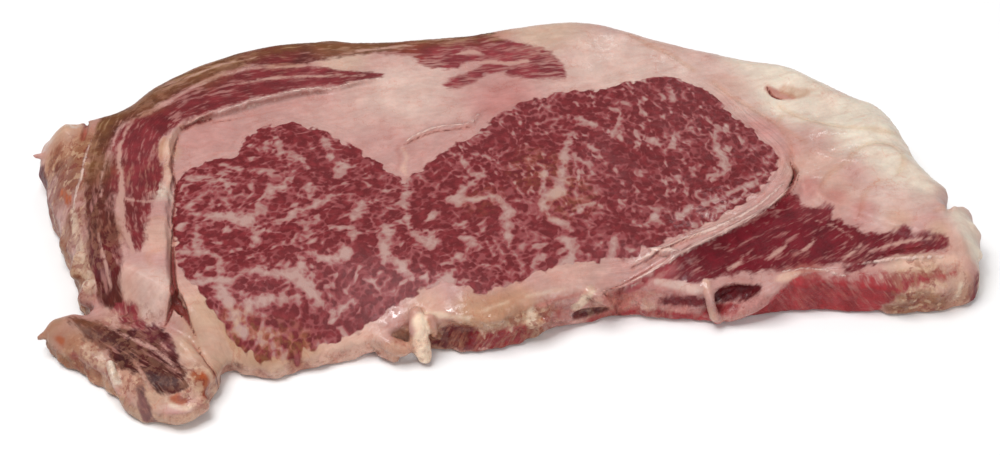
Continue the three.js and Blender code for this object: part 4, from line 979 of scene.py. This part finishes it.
# where fat and lean are mixed and mottled: x, y, radius, strength
MIXED = [
    (-131, 8, 15, 1), (-128, -14, 12, 0.9), (-121, -32, 13, 0.8), (-113, 42, 15, 0.8), (-86, 60, 16, 0.6),
    (-110, -64, 20, 0.7), (-86, -74, 9, 0.8), (-14, -54, 18, 0.35), (9, -47, 11, 0.8), (34, -40, 13, 0.4),
    (-2, 76, 9, 1), (122, -36, 11, 1), (134, -33, 6, 0.5), (-100.6, 6, 4, 0.4), (-60, -62, 16, 0.4),
]


def strongest(circles, least, core):
    """The strongest of several patches at each point."""
    found = np.full(len(shell), least)
    for *circle, strength in circles:
        found = np.maximum(found, strength * patch(*circle, waver=0.15, core=core, rim=1.1))
    return found


wet = strongest(WET, least=0.12, core=0.4)
mixed = strongest(MIXED, least=0.0, core=0.5)
mixed *= np.where((x > -75) & (x < 100), side, 1)

# air has browned the meat along the left and far rim: x, y, half width
BROWNED = [
    (-124, 6, 3), (-123, 26, 5), (-115, 40, 6), (-102, 50, 6.5), (-86, 59, 6), (-68, 66, 5.5), (-50, 69, 6),
    (-30, 72, 5.5), (-10, 74, 4.5), (0, 74, 2),
]
dry = smooth(inside_bar(BROWNED), -3.5, 2)
dry = np.clip(dry + 0.3 * broad + 0.25 * narrow, 0, 1) * (dry > 0.02)

# browned flecks in the eye: x, y, radius, strength
FLECKS = [
    (-75, -55, 8, 1), (-67, -58.5, 9, 1), (-58, -57.5, 8, 1), (10, 6, 13, 0.45), (20, -6, 12, 0.5),
    (-5, -8, 9, 0.3),
]
for *circle, strength in FLECKS:
    dry = np.maximum(dry, in_eye * strength * patch(*circle, waver=0.2, core=0.35, rim=1))

# the fat runs in strands round the eye, most at the right; the lobe is 0 at its left and 1 at its right
ring = (1 - smooth(-from_eye, 2.5, 9)) * (0.25 + 0.75 * smooth(x - 0.5 * y, 30, 60))
lobe = smooth(x + 0.4 * y, -34, -6) * smooth(y + 0.25 * x, -34, 4)


def store(kind, field_name, layers):
    """Keep values on the mesh's points, for the material to read by name."""
    for name, values in layers.items():
        made = mesh.attributes.new(name, kind, "POINT")
        made.data.foreach_set(field_name, values.astype(np.float32).ravel())


def opaque(tones):
    """Tones with full cover."""
    return np.column_stack([np.clip(tones, 0, 1), np.ones(len(tones))])


store("FLOAT", "value", {
    "lean": lean, "seam": seam, "in_eye": in_eye, "share": share, "dry": dry, "side": side, "crack": crack,
    "thread": thread, "crease": crease, "wet": wet, "mixed": mixed, "ring": ring, "lobe": lobe,
})
store("FLOAT_VECTOR", "vector", {
    "fibre": np.column_stack([along, across, third]),
    "ringed": np.column_stack([along_eye, from_eye, THROUGH * z]),
})
store("FLOAT_COLOR", "color", {"red": opaque(red), "pale": opaque(pale)})

# The finish
# One raw, moist finish covers the whole slice. It reads the layers above and adds the marbling,
# the fibres, the mottling of the fat, the gloss of wet places and the fine relief.

class Wire:
    """A number, colour or vector that runs through the nodes of a material."""

    tree = None

    def __init__(self, socket):
        self.socket = socket
        self.wide = socket.type in ("VECTOR", "RGBA")

    @classmethod
    def node(cls, kind, settings, values, output=0):
        """Any other node: its type, its settings, and the values or links of its sockets."""
        made = cls.tree.nodes.new(kind)
        for name, value in settings.items():
            setattr(made, name, value)
        for name, value in values.items():
            socket = next(s for s in made.inputs if name in (s.identifier, s.name))
            if isinstance(value, Wire):
                cls.tree.links.new(value.socket, socket)
            else:
                socket.default_value = value
        if isinstance(output, int):
            return cls(made.outputs[output])
        return cls(next(s for s in made.outputs if output in (s.identifier, s.name)))

    def maths(self, operation, other):
        """A Math or Vector Math node for this value and another, or plain numbers."""
        wide = self.wide or (isinstance(other, Wire) and other.wide)
        made = self.tree.nodes.new("ShaderNodeVectorMath" if wide else "ShaderNodeMath")
        made.operation = operation
        for socket, value in zip(made.inputs, (self, other)):
            if isinstance(value, Wire):
                self.tree.links.new(value.socket, socket)
            elif wide and not hasattr(value, "__len__"):
                socket.default_value = (value,) * 3
            else:
                socket.default_value = value
        return Wire(made.outputs[0])

    def __add__(self, other):
        return self.maths("ADD", other)

    def __sub__(self, other):
        return self.maths("SUBTRACT", other)

    def __mul__(self, other):
        return self.maths("MULTIPLY", other)

    def __truediv__(self, other):
        return self.maths("DIVIDE", other)

    def __neg__(self):
        return self.maths("MULTIPLY", -1.0)

    __radd__, __rmul__ = __add__, __mul__

    def __rsub__(self, other):
        return -self + other

    def most(self, other):
        return self.maths("MAXIMUM", other)

    def step(self, low, high, start=0.0, end=1.0):
        """A soft step from start to end as the value goes from low to high."""
        values = {"Value": self, "From Min": low, "From Max": high, "To Min": start, "To Max": end}
        return self.node("ShaderNodeMapRange", {"interpolation_type": "SMOOTHSTEP"}, values)

    def blend(self, other, factor):
        """This value or colour, turned into another by a factor."""
        if self.wide:
            values = {"Factor_Float": factor, "A_Color": self, "B_Color": other}
            return self.node("ShaderNodeMix", {"data_type": "RGBA"}, values, "Result_Color")
        values = {"Factor_Float": factor, "A_Float": self, "B_Float": other}
        return self.node("ShaderNodeMix", {"data_type": "FLOAT"}, values, "Result_Float")

    def tinted(self, tint, factor):
        """This colour, multiplied by a tint where the factor is 1."""
        return self.blend(self * tint, factor)

    def noise(self, size, detail=2.0, rough=0.5, output="Fac"):
        values = {"Vector": self, "Scale": 1 / size, "Detail": detail, "Roughness": rough}
        return self.node("ShaderNodeTexNoise", {"noise_dimensions": "3D"}, values, output)

    def cells(self, size, feature="DISTANCE_TO_EDGE"):
        values = {"Vector": self, "Scale": 1 / size}
        return self.node("ShaderNodeTexVoronoi", {"feature": feature}, values)

    def turned(self, degrees, stretch):
        """A place turned about the height and squeezed, so that patterns stretch along its first axis."""
        values = {"Vector": self, "Angle": -math.radians(degrees)}
        rotated = self.node("ShaderNodeVectorRotate", {"rotation_type": "Z_AXIS"}, values)
        return rotated * (1 / stretch, 1.0, 1.0)


flesh = bpy.data.materials.new("raw marbled beef")
flesh.use_nodes = True
Wire.tree = flesh.node_tree
shader = flesh.node_tree.nodes["Principled BSDF"]


def layer(name, output="Fac"):
    return Wire.node("ShaderNodeAttribute", {"attribute_name": name}, {}, output)


def hue(red, green, blue):
    """A colour as a socket takes it."""
    return (*colour(red, green, blue), 1)


# tones of the fine pattern in the lean, in the fat and on both
FRESH_LEAN, AIRED_LEAN, MIXED_LEAN = hue(130, 41, 46), hue(112, 68, 38), hue(158, 112, 88)
HAZE, MARBLE, MARBLE_CORE = hue(147, 72, 74), hue(165, 118, 112), hue(178, 141, 133)
SEAM_FAT, AIRED_FAT, DRIED_FAT = hue(204, 162, 148), hue(160, 124, 88), hue(146, 92, 66)
BLOODY_FAT, WAXY_FAT = hue(124, 46, 38), hue(216, 182, 152)
SILVERSKIN, BLOOD_AND_SHADE = hue(222, 192, 180), hue(110, 24, 22)

place = Wire.node("ShaderNodeTexCoord", {}, {}, "Object") * (1 / MM)
flat = place * (1.0, 1.0, THROUGH)
fibres, ringed = layer("fibre", "Vector"), layer("ringed", "Vector")
reds, pales = layer("red", "Color"), layer("pale", "Color")
lean_in, seam_in, share_in = layer("lean"), layer("seam"), layer("share")
eye_part, lobe, dried, on_side = layer("in_eye"), layer("lobe"), layer("dry"), layer("side")
ring, wetness, mixed, creases = layer("ring"), layer("wet"), layer("mixed"), layer("crease")

near_drift = flat.noise(3.0, 0.0, output="Color") - 0.5
far_drift = (flat.noise(8.0, 0.0, output="Color") - 0.5) * 4.0
bent = flat + near_drift + far_drift
loose = flat + near_drift * 1.8 + far_drift * 0.5
wisp = flat.noise(1.3, 1.0) - 0.5


def grain(turn, stretch, granule, clump):
    """Clumps of fat along the grain, and the way out from the middle of each granule of lean."""
    clumps = (bent.turned(turn, stretch).noise(clump, 1.5, 0.5) - 0.57) * 14.0
    granules = loose.turned(turn, 0.85 * stretch).cells(granule, "F1") * granule - granule * 0.36
    return clumps, granules


# the marbling of the eye: clumps of fat and seams between lobules, bitten into by granules of lean
left_clumps, left_granules = grain(turn=34, stretch=1.4, granule=1.5, clump=3.4)
right_clumps, right_granules = grain(turn=-76, stretch=1.6, granule=1.45, clump=2.7)
clumps = left_clumps.blend(right_clumps, lobe)
granules = left_granules.blend(right_granules, lobe)
seam_width = flat.noise(9.0, 0.0).step(0.36, 0.68, -0.3, 1.0)
seams = seam_width - bent.cells(8.0) * 8.0
wide_seams = seam_in + wisp * 1.2 + (flat.noise(2.6, 0.0) - 0.5) * 3.4
marble = clumps.most(seams).most(-2.2).most(wide_seams * 1.3 + 1.0) + granules * 1.8 - 1.0
flecks = (granules * 2.2 - 1.1 + (flat.noise(4.0, 0.0) - 0.5) * 3.0).step(-0.5, 0.7) * 0.75
eye_lean = (reds * (0.8, 0.62, 0.66)).blend(FRESH_LEAN, flat.noise(2.2, 2.0).step(0.35, 0.8))
eye_tone = eye_lean.blend(HAZE, marble.step(-0.9, 0.2).most(flecks))
eye_tone = eye_tone.blend(MARBLE, marble.step(0.0, 1.3))
eye_tone = eye_tone.blend(MARBLE_CORE, marble.step(1.2, 2.8))
browned = dried * flat.noise(2.4, 3.0, 0.6).step(0.4, 0.6)
eye_tone = eye_tone.blend(eye_tone * (1.0, 1.0, 0.95) + (0.062, 0.05, 0.01), browned * 0.95)

# the other muscles: lean in fine fibres, with fat along them
fine = (fibres * (0.16, 1.0, 1.0)).noise(0.8, 2.0, 0.6)
streak_place = fibres + near_drift * 0.8
streaks = (streak_place * (0.26, 1.0, 1.0)).noise(1.2, 2.0, 0.6)
specks = (streak_place * (0.2, 1.0, 1.0)).noise(1.9, 2.0, 0.6)
streaky = (specks * 0.45 + streaks * 0.35 + fine * 0.2 + share_in * 0.15).step(0.53, 0.68) * 0.75
streaky = streaky.most((seam_in + wisp * 0.8 + (streaks - 0.5) * 4.0).step(-0.5, 0.9) * 0.8)
deep = flat.noise(5.0, 3.0, 0.6).step(0.3, 0.7)
lean_tone = (reds * 0.78).blend(reds * 1.22, deep)
lean_tone = lean_tone * (0.7 + fine * 0.62)
browning = dried * (0.45 + flat.noise(3.5, 2.0).step(0.35, 0.65) * 0.5)
lean_tone = lean_tone.blend(AIRED_LEAN, browning)
rust = place.noise(4.5, 4.0, 0.62)
blush = place.noise(3.0, 4.0, 0.62)
lean_tone = lean_tone.blend(MIXED_LEAN, blush.step(0.46, 0.58) * mixed * 0.5)
streak_fat = (pales * (0.78, 0.63, 0.62)).blend(AIRED_FAT, browning)
streak_fat = streak_fat.blend(SEAM_FAT, (seam_in + wisp * 0.4).step(-0.2, 0.9) * 0.8)
other_tone = lean_tone.blend(streak_fat, streaky)
inner_tone = other_tone.blend(eye_tone, eye_part)

# the fat: mottled, with strands round the eye, creases, rosy patches, and crags in the side whose pits get
# painted shade and whose rises get painted light
mottle = flat.noise(6.0, 4.0, 0.6).step(0.3, 0.75)
strands = (ringed * (0.07, 1.0, 1.0) + near_drift * 0.4).noise(0.9, 3.0, 0.65)
pits = place.noise(1.7, 3.0, 0.62)
soft_fat = pales * (0.88 + mottle * 0.18)
soft_fat = soft_fat * (1.0 + (strands.step(0.35, 0.65) - 0.5) * 0.26 * ring)
soft_fat = soft_fat.tinted((0.9, 0.74, 0.7), flat.noise(7.0, 4.0, 0.62).step(0.5, 0.8) * 0.55)
veins = flat.noise(5.5, 4.0, 0.55) - 0.5
veins = veins.most(-veins).step(0.02, 0.0) * flat.noise(9.0, 0.0).step(0.45, 0.65)
soft_fat = soft_fat.tinted((0.9, 0.62, 0.56), veins * 0.5)
soft_fat = soft_fat * (0.93 + flat.noise(1.3, 3.0, 0.6) * 0.14)
layered = bent.turned(14, 4.5).noise(2.0, 3.0, 0.6)
soft_fat = soft_fat.tinted((1.08, 1.15, 1.14), layered.step(0.5, 0.68) * 0.5)
soft_fat = soft_fat.tinted((0.93, 0.8, 0.77), layered.step(0.5, 0.34) * 0.45)
# darker tan along the creases between the lobes: partly the fat's own colour, partly painted shade
soft_fat = soft_fat.tinted((0.9, 0.76, 0.62), creases.step(-1.6, 0.4) * 0.5)
# painted shade in the pits of the side and painted light on the rises between them, following the bump
soft_fat = soft_fat.tinted((0.62, 0.36, 0.3), pits.step(0.54, 0.72) * on_side * 0.6)
soft_fat = soft_fat.tinted(1.3, pits.step(0.46, 0.32) * on_side * 0.5)
soft_fat = soft_fat.blend(DRIED_FAT, rust.step(0.45, 0.58) * mixed * 0.6)
soft_fat = soft_fat.blend(BLOODY_FAT, blush.step(0.52, 0.59) * mixed * 0.72)
soft_fat = soft_fat.blend(WAXY_FAT, place.noise(2.4, 2.0).step(0.53, 0.63) * mixed * 0.45)
soft_fat = soft_fat.tinted((0.82, 0.7, 0.52), dried * 0.6)

not_eye = 1.0 - eye_part
in_grain = ((streaks - 0.5) * 3.0 + (fine - 0.5) * 1.6 + (flat.noise(3.0, 2.0) - 0.5) * 3.0) * not_eye
in_lobes = (flat.noise(3.6, 1.0) - 0.5) * 6.0 * eye_part
lean_edge = lean_in + wisp * 0.9 + in_grain + in_lobes + 0.2
softness = 0.35 + not_eye * 0.6
outside = 1.0 - (lean_edge / softness).step(-1.0, 1.0)
tone = inner_tone.blend(soft_fat, outside)
thread = (layer("thread") + wisp * 0.9 + (strands - 0.5) * 0.8).step(-0.2, 0.35)
tone = tone.blend(SILVERSKIN, thread * (0.3 + strands.step(0.38, 0.6) * 0.55))
# the clefts get a redder margin of painted shade and a dark core of blood and painted shade
crack = layer("crack") + wisp * 0.5
tone = tone.tinted((0.92, 0.64, 0.56), crack.step(-0.9, 0.0) * 0.5)
tone = tone.blend(BLOOD_AND_SHADE, crack.step(-0.15, 0.3) * 0.9)
Wire.tree.links.new(tone.socket, shader.inputs["Base Color"])

fatness = outside.most(marble.step(-0.5, 1.0) * eye_part)
damp = wetness * place.noise(1.8, 3.0, 0.6).step(0.44, 0.6) * (0.4 + fatness * 0.6)
gloss = 0.46 - fatness * 0.06 + (flat.noise(2.5, 3.0) - 0.5) * 0.1 + dried * 0.12 - damp * 0.14
Wire.tree.links.new(gloss.socket, shader.inputs["Roughness"])
Wire.tree.links.new((damp * 0.85).socket, shader.inputs["Coat Weight"])
shader.inputs["Specular IOR Level"].default_value = 0.22
shader.inputs["Subsurface Weight"].default_value = 0.15
shader.inputs["Subsurface Radius"].default_value = (0.0018, 0.0008, 0.0006)
shader.inputs["Subsurface Scale"].default_value = 1.0
shader.inputs["Coat Roughness"].default_value = 0.12

grit = flat.noise(0.8, 3.0, 0.6)
relief = fatness * 0.1 + strands * 0.3 * ring + grit * 0.1
relief = relief + (streaks * 0.2 + fine * 0.14) * not_eye * (1.0 - outside)
relief = relief + flat.noise(2.6, 3.0, 0.6) * 0.2 * outside - pits * 0.7 * on_side
relief = relief + thread * 0.25 - crack.step(-0.3, 0.3) * 0.6 - creases.step(-0.5, 0.3) * 0.12
bump = Wire.node("ShaderNodeBump", {}, {"Height": relief, "Distance": 0.0012, "Strength": 0.85})
Wire.tree.links.new(bump.socket, shader.inputs["Normal"])
mesh.materials.append(flesh)

# The view
# A studio table: plain pale floor, broad soft lights, and a camera that looks down at 42 degrees.

ELEVATION = math.radians(42)
CAMERA_AWAY = 0.817
LOOK_AT = (-0.0005, -0.0181, 0.018)
camera_data = bpy.data.cameras.new("camera")
camera_data.lens = 100
camera_data.sensor_width = 36
camera_data.clip_start = 0.05
camera = bpy.data.objects.new("camera", camera_data)
bpy.context.collection.objects.link(camera)
camera.location = (
    LOOK_AT[0],
    LOOK_AT[1] - CAMERA_AWAY * math.cos(ELEVATION),
    LOOK_AT[2] + CAMERA_AWAY * math.sin(ELEVATION),
)
camera.rotation_euler = (math.pi / 2 - ELEVATION, 0, 0)
bpy.context.scene.camera = camera

FLOOR_SIZE, FLOOR_BELOW = 6, 0.0002
bpy.ops.mesh.primitive_plane_add(size=FLOOR_SIZE, location=(0, 0, -FLOOR_BELOW))
floor = bpy.context.object
floor.name = "floor"
floor_finish = bpy.data.materials.new("white sweep")
floor_finish.use_nodes = True
floor_shader = floor_finish.node_tree.nodes["Principled BSDF"]
floor_shader.inputs["Base Color"].default_value = (0.97, 0.97, 0.97, 1)
floor_shader.inputs["Roughness"].default_value = 0.9
floor.data.materials.append(floor_finish)

world = bpy.data.worlds.new("studio")
world.use_nodes = True
background = world.node_tree.nodes["Background"]
background.inputs["Color"].default_value = (1, 1, 1, 1)
background.inputs["Strength"].default_value = 0.25
bpy.context.scene.world = world
LIGHTS = [
    # name, position, size, power
    ("key", (-0.4, -0.1, 1.4), 0.9, 15.6),
    ("fill", (0.6, -1.1, 0.9), 1.0, 5.5),
    ("glint", (0.25, 1.1, 0.9), 0.25, 1.2),
    ("spark", (-0.3, -0.45, 1.2), 0.13, 1.8),
]
for name, position, size, power in LIGHTS:
    light = bpy.data.lights.new(name, "AREA")
    light.size = size
    light.energy = power
    lamp = bpy.data.objects.new(name, light)
    lamp.location = position
    lamp.rotation_euler = (-Vector(position)).to_track_quat("-Z", "Y").to_euler()
    bpy.context.collection.objects.link(lamp)
bpy.context.scene.view_settings.view_transform = "Standard"
